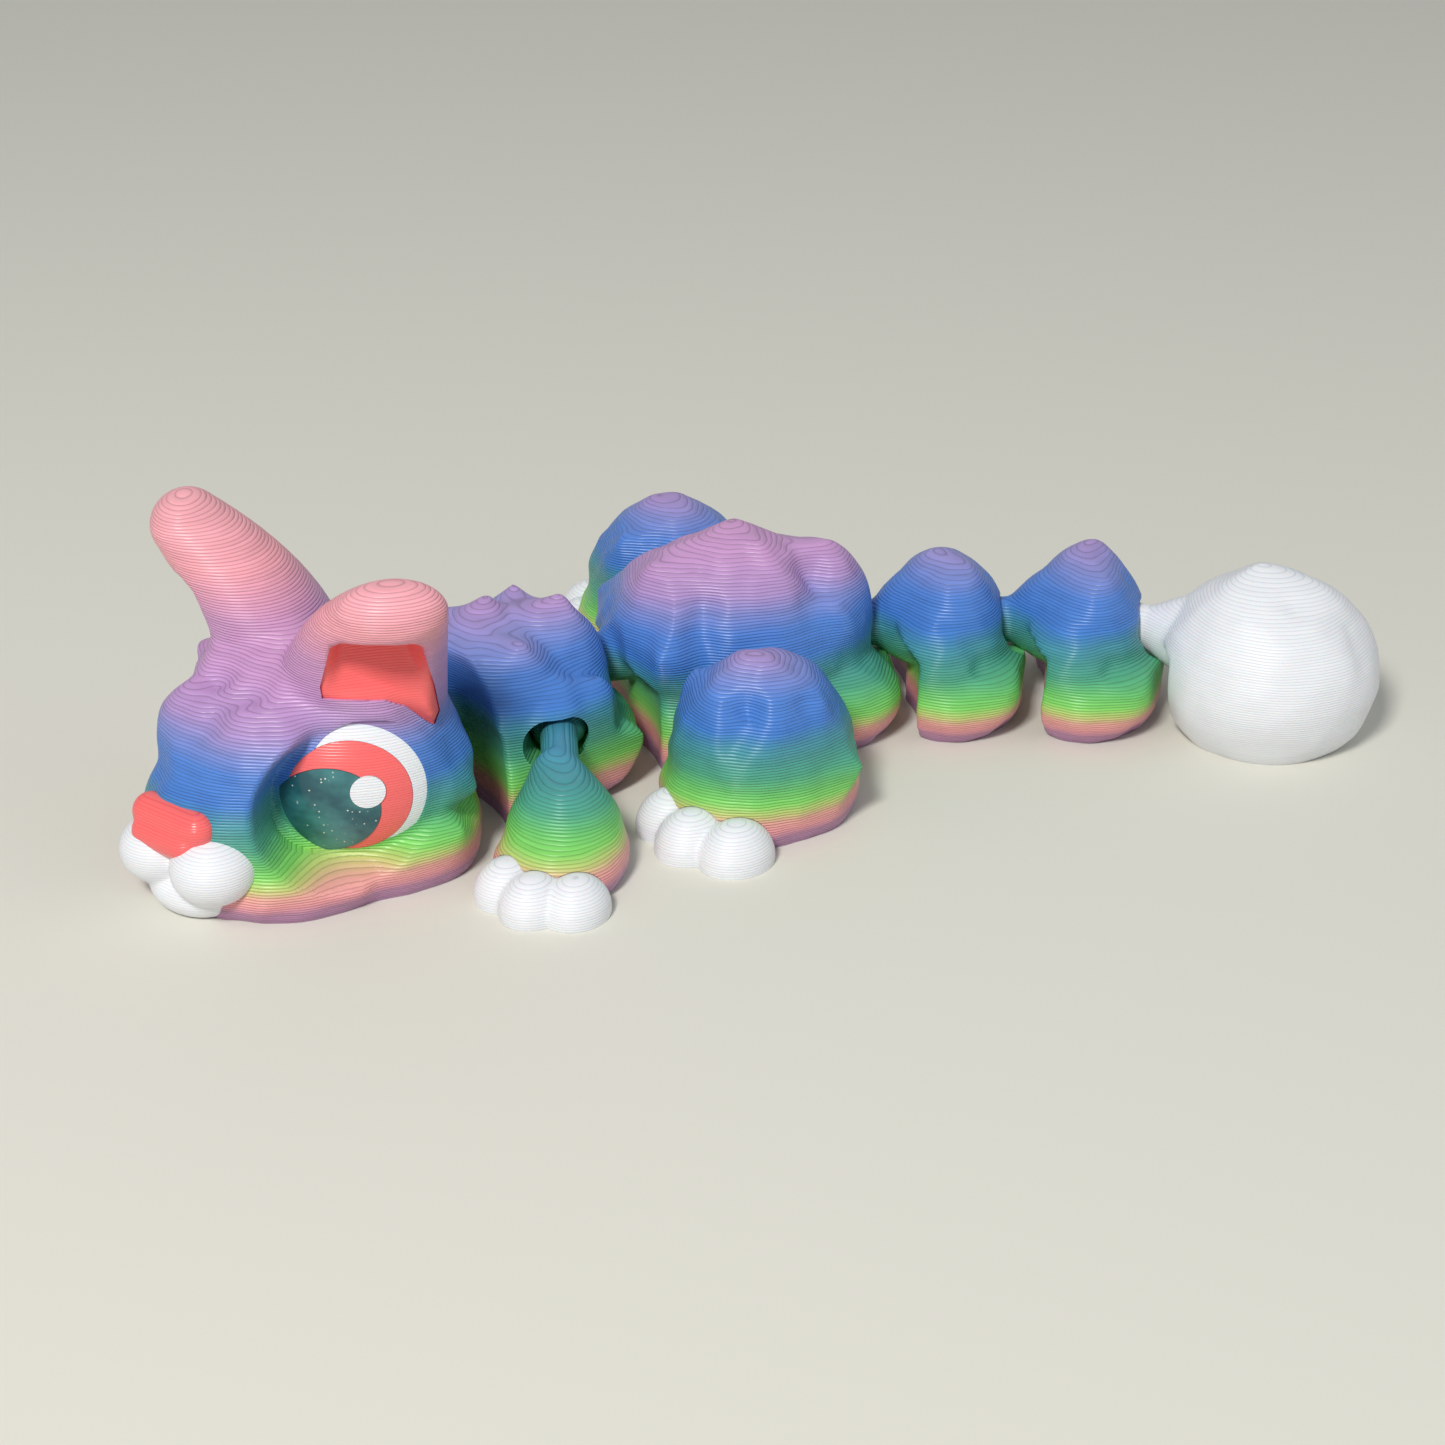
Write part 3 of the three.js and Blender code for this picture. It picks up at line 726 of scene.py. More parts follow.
class Clay:
    """A piece while it is being shaped, in millimetres in its own frame."""

    grain = 0.3

    def __init__(self, name: str, lumps: Sequence[Lump], body: bpy.types.Object | None = None) -> None:
        """Lays down the first lumps.

        Args:
            name: the finished piece's name.
            lumps: eggs and horns, which may overlap.
            body: a mesh to start from instead of lumps.
        """
        self.name = name
        self.body = body or joined(
            [egg(lump) if isinstance(lump, Egg) else horn(lump) for lump in lumps])

    def add(self, lumps: Sequence[Lump]) -> "Clay":
        """Lays more lumps on the piece."""
        extra = [egg(lump) if isinstance(lump, Egg) else horn(lump) for lump in lumps]
        self.body = joined([self.body, *extra])
        return self

    def _apply(self, kind: str, **settings: object) -> None:
        """Adds a modifier and applies it at once.

        Args:
            kind: the modifier's type.
            settings: its attributes.
        """
        pick(self.body)
        modifier = self.body.modifiers.new("shape", kind)
        for key, value in settings.items():
            setattr(modifier, key, value)
        bpy.ops.object.modifier_apply(modifier=modifier.name)

    def fuse(self, rounds: int, grain: float | None = None) -> "Clay":
        """Runs the lumps into one skin and smooths it.

        Args:
            rounds: how many times it is smoothed.
            grain: the skin's grain, or None for the usual one.

        Returns:
            The piece.
        """
        self._apply("REMESH", mode="VOXEL", voxel_size=grain or self.grain)
        self._apply("SMOOTH", factor=0.5, iterations=rounds)
        return self

    def smooth(self, rounds: int) -> "Clay":
        """Smooths the skin."""
        self._apply("SMOOTH", factor=0.5, iterations=rounds)
        return self

    def _skin(self) -> tuple[np.ndarray, np.ndarray]:
        """The skin's points and normals, one row each."""
        mesh = self.body.data
        points = np.empty(len(mesh.vertices) * 3)
        normals = np.empty(len(mesh.vertices) * 3)
        mesh.vertices.foreach_get("co", points)
        mesh.vertices.foreach_get("normal", normals)
        return points.reshape(-1, 3), normals.reshape(-1, 3)

    def _set_skin(self, points: np.ndarray) -> None:
        """Moves the skin's points."""
        self.body.data.vertices.foreach_set("co", points.ravel())
        self.body.data.update()

    def pull(self, locks: Sequence[Lock]) -> "Clay":
        """Draws locks of fur out of the skin, one after the other."""
        for lock in locks:
            points, _ = self._skin()
            tip, foot = np.array(lock.tip), np.array(lock.foot)
            start = points[np.argmin(((points - tip) ** 2).sum(axis=1))]
            run = foot - start
            along = np.clip(((points - start) @ run) / (run @ run), 0.0, 1.0)
            bow = 4 * along * (1 - along) * lock.width * 0.25
            off = np.linalg.norm(points - start - along[:, None] * run, axis=1) - bow
            share = np.clip(1 - off / lock.width, 0.0, 1.0) ** lock.point
            share *= (1 - along) ** 1.2
            self._set_skin(points + share[:, None] * (tip - start))
        return self

    def ruffle(self, depth: float, size: float) -> "Clay":
        """Gives the skin soft uneven waves.

        Args:
            depth: how deep they are.
            size: how far apart they are.

        Returns:
            The piece.
        """
        waves = bpy.data.textures.new("waves", "CLOUDS")
        waves.noise_scale = size
        waves.noise_depth = 1
        self._apply("DISPLACE", texture=waves, texture_coords="LOCAL", strength=depth, mid_level=0.5)
        return self

    def press(self, face: "Face", outline: Sequence[Flat], depth: Callable[[np.ndarray, np.ndarray],
              np.ndarray], inside: float, outside: float) -> "Clay":
        """Presses the skin onto a surface within an outline on a face, and softly round it.

        Args:
            face: the face that is pressed.
            outline: the outline on the face.
            depth: the surface's height over the face at places on it.
            inside: how far within the outline the skin starts to give way.
            outside: how far outside of it.

        Returns:
            The piece.
        """
        points, _ = self._skin()
        flat = face.flatten(points)
        edge = rim_distance(flat[:, :2], outline)
        share = np.clip((outside - edge) / (outside + inside), 0.0, 1.0)
        share = share * share * (3 - 2 * share) * (flat[:, 2] > -4.0)
        flat[:, 2] += share * (depth(flat[:, 0], flat[:, 1]) - flat[:, 2])
        self._set_skin(face.raise_(flat))
        return self

    def _cut(self, tool: bpy.types.Object, operation: str) -> "Clay":
        """Cuts the piece with a tool, which is then thrown away.

        Args:
            tool: a closed mesh.
            operation: the Boolean modifier's operation.

        Returns:
            The piece.
        """
        self._apply("BOOLEAN", object=tool, operation=operation, solver="MANIFOLD")
        bpy.data.objects.remove(tool)
        return self

    def carve(self, *tools: bpy.types.Object) -> "Clay":
        """Takes tools' shapes away."""
        for tool in tools:
            self._cut(tool, "DIFFERENCE")
        return self

    def keep(self, tool: bpy.types.Object) -> "Clay":
        """Keeps only what is inside a tool."""
        return self._cut(tool, "INTERSECT")

    def level(self) -> "Clay":
        """Cuts the piece flat on the bed."""
        pick(self.body)
        bpy.ops.object.mode_set(mode="EDIT")
        bpy.ops.mesh.select_all(action="SELECT")
        bpy.ops.mesh.bisect(plane_co=(0.0, 0.0, BED), plane_no=(0.0, 0.0, 1.0), use_fill=True,
                            clear_inner=True)
        bpy.ops.object.mode_set(mode="OBJECT")
        return self

    def copy(self) -> bpy.types.Object:
        """A copy of the piece, to use as a tool."""
        twin = self.body.copy()
        twin.data = self.body.data.copy()
        bpy.context.collection.objects.link(twin)
        return twin

    def put(self, place: Place, body: str, node: str, slot: Slot, palette: Palette) -> bpy.types.Object:
        """Args:
            place: where its frame stands.
            body: the frame's body that it rides on.
            node: the frame's node that it replaces.
            slot: its material slot.
            palette: the finished materials.

        Returns:
            The piece's object.
        """
        obj = self.body
        obj.name = self.name
        obj.data.name = self.name
        obj.location = (place.x * MM, place.y * MM, 0.0)
        obj.rotation_euler = (0.0, 0.0, math.radians(place.turn))
        obj.scale = (MM, MM, MM)
        freeze(obj)
        obj.data.materials.clear()
        obj.data.materials.append(palette.by_slot[slot])
        pick(obj)
        bpy.ops.object.shade_smooth_by_angle(angle=math.radians(50))
        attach(obj, body)
        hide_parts(node)
        LOG.info("%s: %d faces on %s", self.name, len(obj.data.polygons), body)
        return obj


# ---- what the links share ------------------------------------------------------------------------
@dataclass(frozen=True)
class Edge:
    """A rear outline in plan, part of an ellipse: its reach back and sideways, and its middle."""

    back: float
    side: float
    centre: float

    def radius(self, degrees: float) -> float:
        """The distance from the joint to the outline.

        Args:
            degrees: the direction, from straight back.

        Returns:
            The distance.
        """
        cos, sin = math.cos(math.radians(degrees)), math.sin(math.radians(degrees))
        a = (cos / self.back) ** 2 + (sin / self.side) ** 2
        b = -2 * self.centre * cos / self.back ** 2
        c = (self.centre / self.back) ** 2 - 1
        return (-b + math.sqrt(b * b - 4 * a * c)) / (2 * a)


@dataclass(frozen=True)
class Rear:
    """The rear of a link: a low lip under the next neck, and a steeper shoulder over it."""

    lip: Edge
    shoulder: Edge
    lip_top: float = 4.4
    shoulder_start: float = 5.9
    clearance: float = 0.45

    def mix(self, height: float, low: float, high: float) -> float:
        """How much of the shoulder there is at a height, from 0 to 1."""
        share = max(0.0, min(1.0, (height - low) / (high - low)))
        return share * share * (3 - 2 * share)

    def own(self, joint: float) -> bpy.types.Object:
        """The solid that the link stays inside."""
        def radius(degrees: float, height: float) -> float:
            """The link's own edge, drawn in a little towards the bed."""
            share = self.mix(height, self.lip_top, self.shoulder_start)
            edge = (1 - share) * self.lip.radius(degrees) + share * self.shoulder.radius(degrees)
            opening = 1 + (max(0.0, abs(degrees) - 92) / 20) ** 2
            return min(REACH, (edge - 0.22 * max(0.0, 3.2 - height)) * opening)
        return fence(joint, radius)

    def swept(self, joint: float, swing: float) -> bpy.types.Object:
        """The solid that the next link stays outside of, as it swings."""
        def radius(degrees: float, height: float) -> float:
            """The widest of the edge over the whole swing, with its clearance."""
            if abs(degrees) > 90:
                return REACH
            share = self.mix(height, 6.4, 7.9)
            ends = (abs(degrees), min(abs(degrees) + swing, 110.0))
            lip = max(self.lip.radius(end) for end in ends)
            shoulder = max(self.shoulder.radius(end) for end in ends)
            return (1 - share) * lip + share * shoulder + self.clearance
        return fence(joint, radius)


@dataclass(frozen=True)
class Snap:
    """A ball and neck, and the socket that they snap into."""

    height: float
    ball: float
    neck: float
    play: float = 0.4

    def stem(self, reach: float) -> list[Lump]:
        """The ball, and its neck straight out along X."""
        middle = (0.0, 0.0, self.height)
        return [Horn(middle, (reach, 0.0, self.height), self.neck, self.neck - 0.001),
                Egg(middle, (self.ball, self.ball, self.ball))]

    def socket(self, at: Flat, facing: float, swing: float) -> list[bpy.types.Object]:
        """The tools that cut a socket.

        Args:
            at: the joint in plan.
            facing: the way that the mouth opens, in degrees.
            swing: how far the neck swings each way, in degrees.

        Returns:
            The round cavity and the fan-shaped mouth.
        """
        mouth = self.neck + self.play
        rays = []
        count = max(2, int(swing / 4))
        for number in range(count + 1):
            turn = math.radians(facing - swing - 2 + 2 * (swing + 2) * number / count)
            end = (at[0] + 14 * math.cos(turn), at[1] + 14 * math.sin(turn), self.height)
            rays.append(Horn((*at, self.height), end, mouth, mouth - 0.001))
        cavity = Egg((*at, self.height), (self.ball + self.play,) * 3)
        return [Clay("socket", [cavity, *rays]).fuse(1, 0.25).body]


CHAIN = Snap(height=7.0, ball=2.8, neck=1.8)
HIP = Snap(height=6.3, ball=2.2, neck=1.4)
CHAIN_SWING = 26.0
HEAD_SWING = 20.0
LEG_SWING = 10.0
LEG_WALL = 3.0
LEG_CLEARANCE = 0.45

TAIL_REAR = Rear(Edge(6.5, 9.6, -1.0), Edge(5.2, 6.8, -1.8))
RUMP_REAR = Rear(Edge(8.0, 10.8, -2.5), Edge(9.0, 9.6, -5.2))
CHEST_REAR = Rear(Edge(7.5, 11.2, -2.0), Edge(7.2, 9.4, -3.4))
HEAD_REAR = Rear(Edge(10.4, 12.4, -5.0), Edge(10.0, 12.6, -5.2))

FRONT_LEG = (-4.6, 7.0)
REAR_LEG = (-1.0, 6.6)
FRONT_LEG_TURN = 36.0
REAR_LEG_TURN = {Side.LEFT: 16.0, Side.RIGHT: -8.0}

RUMP_TURN = 6.0
CHEST_TURN = 26.0
HEAD_TURN = 37.0
TAIL_TURNS = (-8.0, -16.0)
POMPOM_TURN = -38.0


def both(lumps: Sequence[Lump]) -> list[Lump]:
    """Lumps and their mirror images."""
    return [lump.mirrored(side) for side in (Side.RIGHT, Side.LEFT) for lump in lumps]


def walls(half: float) -> bpy.types.Object:
    """A block that keeps a link within flat sides."""
    return prism([(-REACH, -half), (REACH, -half), (REACH, half), (-REACH, half)], -1.0, 40.0)


def joint_place(child: str, turn: float) -> Place:
    """Where a body's own joint stands.

    Args:
        child: the body's name.
        turn: the body's turn at rest, in degrees.

    Returns:
        The place.
    """
    for joint in frame["record"]["behaviour"]["joints"]:
        if joint["child"] == child:
            x, y, _ = joint["pos_m"]
            return Place(x / MM, y / MM, turn)
    return Place(0.0, 0.0, turn)


@dataclass
class Rump:
    """The rump, which holds the waist's ball, the tail's socket and both rear legs' sockets."""

    rear_joint: float = 6.8
    front_joint: float = 16.4
    side_wall: float = REAR_LEG[1] + LEG_WALL
    dome: tuple[Egg, ...] = (
        Egg((-1.6, 0.0, 6.4), (11.0, 9.2, 9.2)),
        Egg((3.6, -0.2, 7.8), (6.2, 7.2, 6.4)),
        Egg((4.2, 0.0, 2.6), (7.6, 10.2, 5.4)),
        Egg((-5.0, 0.0, 2.4), (9.0, 9.6, 5.6)),
    )
    locks: tuple[Lock, ...] = (
        Lock((-0.6, 1.4, 16.7), (-3.8, 1.8, 13.4), 4.6, 1.4),
        Lock((0.0, -2.4, 16.0), (1.0, -7.4, 10.4), 3.2),
        Lock((-5.0, 1.0, 15.5), (-8.0, 1.6, 12.4), 3.0),
        Lock((-8.9, -1.0, 14.5), (-12.0, -1.4, 9.0), 3.4),
        Lock((-7.7, -3.4, 13.7), (-9.4, -8.2, 7.0), 3.2),
        Lock((-10.2, -7.4, 9.8), (-11.0, -8.6, 4.0), 3.2),
        Lock((-4.2, -5.6, 13.0), (-4.6, -9.2, 7.0), 3.0),
        Lock((4.9, -7.0, 11.7), (6.4, -9.0, 5.4), 3.2),
        Lock((6.4, -1.4, 15.0), (9.6, -3.0, 9.0), 3.6),
        Lock((3.2, -3.6, 12.7), (3.6, -8.6, 6.6), 2.2, 1.2),
        Lock((0.8, -5.0, 14.5), (1.8, -8.8, 8.4), 2.2),
        Lock((6.8, -3.6, 13.8), (8.2, -7.6, 7.6), 2.4),
        Lock((-8.4, -6.0, 11.9), (-9.4, -8.8, 6.6), 2.2),
        Lock((-3.0, -3.4, 14.9), (-3.4, -8.6, 9.4), 2.4),
        Lock((-5.8, -4.6, 12.2), (-6.4, -8.8, 7.0), 2.0, 1.2),
        Lock((9.9, -7.4, 3.9), (6.0, -9.8, 3.4), 3.4),
        Lock((4.6, 2.4, 14.0), (8.6, 3.0, 9.6), 3.2),
        Lock((-8.2, 3.8, 13.4), (-10.0, 8.0, 7.0), 3.2),
        Lock((-10.2, 7.4, 9.8), (-11.0, 8.6, 4.0), 3.2),
        Lock((-1.4, 6.4, 13.2), (-1.2, 9.4, 7.0), 3.2),
        Lock((4.9, 7.0, 11.7), (6.4, 9.0, 5.4), 3.2),
        Lock((9.9, 7.4, 3.9), (6.0, 9.8, 3.4), 3.4),
    )

    def build(self, palette: Palette) -> bpy.types.Object:
        """Makes the rump."""
        place = Place(0.0, 0.0, RUMP_TURN)
        clay = Clay("rump_skin", self.dome).fuse(8).ruffle(0.9, 3.4).pull(self.locks)
        clay.keep(walls(self.side_wall)).keep(RUMP_REAR.own(self.rear_joint))
        clay.carve(CHEST_REAR.swept(-self.front_joint, CHAIN_SWING))
        flare = CHEST_REAR.shoulder.radius(0) + CHEST_REAR.clearance
        neck = [shifted(lump, -self.front_joint) for lump in [
            *CHAIN.stem(flare + 2), Horn((flare + 0.6, 0.0, 7.0), (flare + 5.5, 0.0, 9.4), 1.9, 4.2)]]
        clay.add(neck).fuse(6)
        clay.carve(*CHAIN.socket((self.rear_joint, 0.0), 0.0, CHAIN_SWING))
        for side in Side:
            clay.carve(*leg_socket(REAR_LEG, side, REAR_LEG_TURN[side]))
        return clay.level().put(place, "body", "body_shell", Slot.RAINBOW, palette)


def shifted(lump: Lump, along: float) -> Lump:
    """A lump moved along X."""
    if isinstance(lump, Egg):
        return Egg((lump.at[0] + along, lump.at[1], lump.at[2]), lump.size, lump.turn)
    return Horn((lump.root[0] + along, *lump.root[1:]), (lump.tip[0] + along, *lump.tip[1:]),
                lump.thick, lump.fine)


def leg_socket(at: Flat, side: Side, forwards: float) -> list[bpy.types.Object]:
    """The tools that cut a leg's socket.

    Args:
        at: the right-hand leg's joint in plan.
        side: which leg.
        forwards: how far the leg points ahead of straight out, in degrees.

    Returns:
        The tools.
    """
    return HIP.socket((at[0], at[1] * side.value), side.value * (90 + forwards), LEG_SWING)


@dataclass
class Chest:
    """The chest, between the head and the rump."""

    head_joint: float = 15.8
    side_wall: float = FRONT_LEG[1] + LEG_WALL
    dome: tuple[Egg, ...] = (
        Egg((-6.4, 0.0, 5.0), (9.4, 9.2, 7.6)),
        Egg((-2.6, 0.0, 6.2), (6.2, 7.8, 6.2)),
        Egg((-2.6, 0.0, 3.0), (7.4, 11.0, 4.7)),
        Egg((-9.0, 0.0, 2.4), (7.2, 9.8, 5.4)),
        Egg((-4.6, 7.0, 5.4), (5.0, 3.8, 4.4)),
        Egg((-4.6, -7.0, 5.4), (5.0, 3.8, 4.4)),
    )
    locks: tuple[Lock, ...] = (
        Lock((-4.4, 1.8, 13.8), (-6.6, 0.8, 10.0), 3.0),
        Lock((0.0, -1.6, 13.8), (1.8, -5.6, 8.4), 3.6),
        Lock((-6.1, -5.0, 12.6), (-7.0, -8.6, 7.0), 3.0),
        Lock((-2.4, -4.4, 11.4), (-3.4, -8.0, 8.6), 2.0, 1.2),
        Lock((-1.2, -8.2, 9.4), (-0.6, -10.4, 5.4), 2.8),
        Lock((1.0, -11.4, 5.6), (-1.6, -10.8, 4.0), 2.8),
        Lock((-1.2, 2.8, 13.4), (0.4, 6.4, 8.0), 2.8),
        Lock((-6.8, 5.2, 12.2), (-7.4, 8.6, 7.0), 3.0),
        Lock((-1.2, 8.2, 9.4), (-0.6, 10.4, 5.4), 2.8),
        Lock((1.0, 11.4, 5.6), (-1.6, 10.8, 4.0), 2.8),
    )

    def build(self, palette: Palette) -> bpy.types.Object:
        """Makes the chest."""
        clay = Clay("chest_skin", self.dome).fuse(8).ruffle(0.8, 3.2).pull(self.locks)
        clay.keep(walls(self.side_wall)).keep(CHEST_REAR.own(0.0))
        clay.carve(HEAD_REAR.swept(-self.head_joint, HEAD_SWING))
        flare = HEAD_REAR.shoulder.radius(0) + HEAD_REAR.clearance
        neck = [shifted(lump, -self.head_joint) for lump in [
            *CHAIN.stem(flare + 2), Horn((flare + 0.6, 0.0, 7.0), (flare + 4.0, 0.0, 8.2), 1.9, 3.2)]]
        clay.add(neck).fuse(3)
        clay.carve(*CHAIN.socket((0.0, 0.0), 0.0, CHAIN_SWING))
        for side in Side:
            clay.carve(*leg_socket(FRONT_LEG, side, FRONT_LEG_TURN))
        place = joint_place("chest", CHEST_TURN)
        return clay.level().put(place, "chest", "chest_shell", Slot.RAINBOW, palette)


@dataclass
class TailLink:
    """One link of the tail: its own ball is at the origin and its socket is further back."""

    number: int
    ahead: Rear
    peaks: tuple[Lock, ...]
    pitch: float = 11.2
    dome: tuple[Lump, ...] = (
        Egg((9.2, 0.0, 2.6), (6.6, 9.6, 4.8)),
        Egg((8.0, 0.0, 5.2), (4.6, 8.6, 5.2)),
        Egg((10.4, 0.0, 3.8), (5.4, 8.8, 4.2)),
        Egg((9.2, 0.0, 6.8), (5.0, 6.4, 5.3)),
        Horn((4.6, 0.0, 7.0), (9.0, 0.0, 7.0), 2.0, 5.2),
    )
    locks: tuple[Lock, ...] = (
        Lock((13.9, -8.2, 4.0), (9.6, -9.4, 3.0), 3.4),
        Lock((13.9, 8.2, 4.0), (9.6, 9.4, 3.0), 3.4),
    )

    def build(self, palette: Palette) -> bpy.types.Object:
        """Makes the link."""
        name = f"tail_link_{self.number}"
        clay = Clay(f"{name}_skin", self.dome).fuse(8).ruffle(0.5, 2.8)
        clay.pull([*self.peaks, *self.locks])
        clay.keep(TAIL_REAR.own(self.pitch)).carve(self.ahead.swept(0.0, CHAIN_SWING))
        flare = self.ahead.shoulder.radius(0) + self.ahead.clearance
        clay.add([*CHAIN.stem(flare + 2),
                  Horn((flare + 0.3, 0.0, 7.0), (self.pitch - 3.4, 0.0, 7.4), 1.9, 4.2)]).fuse(4)
        clay.carve(*CHAIN.socket((self.pitch, 0.0), 0.0, CHAIN_SWING))
        place = joint_place(name, TAIL_TURNS[self.number - 1])
        return clay.level().put(place, name, name, Slot.RAINBOW, palette)


FIRST_PEAKS = (
    Lock((8.8, 1.4, 12.7), (5.6, 0.8, 9.6), 4.2, 1.4),
    Lock((10.9, -2.0, 12.3), (10.4, -6.4, 8.0), 3.2),
    Lock((8.8, -4.4, 11.2), (8.0, -7.6, 6.0), 3.2),
    Lock((9.4, 4.6, 11.2), (8.8, 7.4, 6.0), 3.2),
)
SECOND_PEAKS = (
    Lock((10.0, 2.2, 13.2), (6.0, 1.2, 9.8), 4.2, 1.4),
    Lock((10.6, -2.8, 12.1), (10.2, -6.4, 8.0), 3.2),
    Lock((9.4, -5.2, 10.8), (8.8, -8.0, 5.6), 3.2),
    Lock((9.6, 5.0, 11.2), (8.8, 7.6, 6.0), 3.2),
)


@dataclass
class TailBall:
    """The round white end of the tail."""

    lumps: tuple[Lump, ...] = (
        Egg((13.2, 0.0, 5.3), (8.6, 8.6, 8.0)),
        Egg((12.4, 0.0, 7.6), (6.4, 6.4, 5.4)),
    )
    locks: tuple[Lock, ...] = (
        Lock((11.7, 0.3, 13.9), (9.0, 0.6, 12.0), 5.4, 1.8),
        Lock((15.4, -3.0, 11.9), (18.6, -6.0, 7.0), 4.4, 1.6),
        Lock((14.4, 4.0, 11.7), (18.0, 6.0, 7.0), 4.4, 1.6),
        Lock((19.4, -1.0, 9.9), (21.4, -2.0, 5.0), 4.0, 1.6),
    )

    def build(self, palette: Palette) -> bpy.types.Object:
        """Makes the ball."""
        clay = Clay("tail_pompom", self.lumps).fuse(10).ruffle(0.4, 3.6).pull(self.locks)
        clay.carve(TAIL_REAR.swept(0.0, CHAIN_SWING))
        flare = TAIL_REAR.shoulder.radius(0) + TAIL_REAR.clearance
        clay.add([*CHAIN.stem(flare + 2),
                  Horn((flare + 0.2, 0.0, 7.0), (7.4, 0.0, 7.0), 1.9, 3.4)]).fuse(3)
        place = joint_place("tail_ball", POMPOM_TURN)
        return clay.level().put(place, "tail_ball", "tail_ball", Slot.WHITE, palette)


@dataclass
class Paw:
    """Three white toes at the end of a leg, whose own frame starts at its ball."""

    middle: Flat
    points: float
    pitch: float
    toe: Vec
    bulge: float = 1.2
    height: float = 0.8

    def eggs(self, side: Side, extra: float = 0.0) -> list[Egg]:
        """The toes as eggs, thicker by `extra`."""
        turn = math.radians(self.points * side.value)
        x, y = self.middle[0], self.middle[1] * side.value
        toes = []
        for place in (-1, 0, 1):
            ahead = self.bulge if place == 0 else 0.0
            at = (x - place * self.pitch * math.sin(turn) + ahead * math.cos(turn),
                  y + place * self.pitch * math.cos(turn) + ahead * math.sin(turn), self.height)
            size = tuple(value + extra for value in self.toe)
            toes.append(Egg(at, size, self.points * side.value))
        return toes


@dataclass
class Leg:
    """A leg with its ball, stub and paw; `forwards` is how far it points ahead of straight out."""

    end: str
    side: Side
    joint: Flat
    forwards: float
    turn: float
    paw: Paw
    lumps: tuple[Lump, ...]
    locks: tuple[Lock, ...]
    middle: float
    waves: float

    def _wall(self) -> bpy.types.Object:
        """What the link's flat side needs as the leg swings."""
        tilt = -self.side.value * self.forwards
        points = []
        for degrees in range(-75, 76, 5):
            off = min(abs(degrees - tilt) + LEG_SWING, 80)
            reach = LEG_CLEARANCE + LEG_WALL / math.cos(math.radians(off))
            angle = math.radians(degrees)
            points.append((reach * math.cos(angle), reach * math.sin(angle)))
        return prism([*points, (-REACH, REACH), (-REACH, -REACH)], -1.0, 40.0)

    def build(self, palette: Palette) -> list[bpy.types.Object]:
        """Makes the leg and its toes."""
        name = f"{self.end}_{self.side.word}"
        place = joint_place(f"{name}_leg", self.turn + self.side.value * (90 + self.forwards))
        clay = Clay(f"{name}_leg_skin", [lump.mirrored(self.side) for lump in self.lumps])
        clay.fuse(8).ruffle(self.waves, 2.8).pull([lock.mirrored(self.side) for lock in self.locks])
        clay.carve(self._wall()).add(HIP.stem(self.middle)).fuse(2)
        toes = Clay(f"{name}_paw", self.paw.eggs(self.side)).fuse(2, 0.2)
        room = Clay("room", self.paw.eggs(self.side, 0.04)).fuse(2, 0.2)
        clay.carve(room.body).level()
        toes.level()
        return [clay.put(place, f"{name}_leg", f"{name}_leg", Slot.RAINBOW, palette),
                toes.put(place, f"{name}_leg", f"{name}_toes", Slot.WHITE, palette)]


def front_leg(side: Side) -> Leg:
    """A front leg: one smooth cone down to the paw."""
    return Leg(
        "front", side, FRONT_LEG, FRONT_LEG_TURN, CHEST_TURN,
        Paw((16.7, 1.6), 32.0, 2.8, (2.8, 2.4, 2.5), height=0.5),
        (Egg((11.4, -0.2, 1.6), (5.4, 4.7, 3.6)), Egg((13.2, 0.4, 1.4), (4.4, 4.8, 3.0), 30.0),
         Horn((10.8, -0.2, 2.8), (7.6, 0.2, 5.6), 4.3, 2.0)),
        (Lock((7.2, 0.4, 7.8), (9.2, 0.4, 5.6), 2.4, 1.3),), 8.0, 0.25)


def rear_leg(side: Side) -> Leg:
    """A rear leg: a tall haunch with a few locks."""
    return Leg(
        "rear", side, REAR_LEG, REAR_LEG_TURN[side], RUMP_TURN,
        Paw((14.8, 5.8), 52.0, 3.5, (3.0, 2.6, 2.8), height=0.5),
        (Egg((9.0, 1.2, 4.6), (7.4, 6.5, 7.9), 50.0), Egg((9.0, 1.2, 2.2), (8.2, 7.0, 4.9), 50.0)),
        (Lock((10.0, 2.6, 13.0), (7.4, 3.6, 10.0), 3.2, 1.3),
         Lock((10.4, 0.4, 12.9), (13.4, 0.2, 8.0), 2.4),
         Lock((11.9, 4.8, 11.1), (14.2, 5.8, 6.6), 2.8), Lock((11.9, -3.0, 10.4), (14.0, -4.4, 5.4), 3.0),
         Lock((13.9, 1.0, 10.2), (15.9, 1.6, 5.0), 2.4),
         Lock((12.6, 2.6, 9.6), (14.6, 3.6, 4.6), 1.7, 1.2),
         Lock((12.6, -1.4, 10.0), (14.6, -1.8, 4.6), 1.7, 1.2),
         Lock((12.8, -6.2, 4.9), (11.0, -5.0, 3.4), 2.8), Lock((6.4, 6.4, 10.4), (5.4, 7.6, 5.0), 2.8)),
        9.0, 0.7)


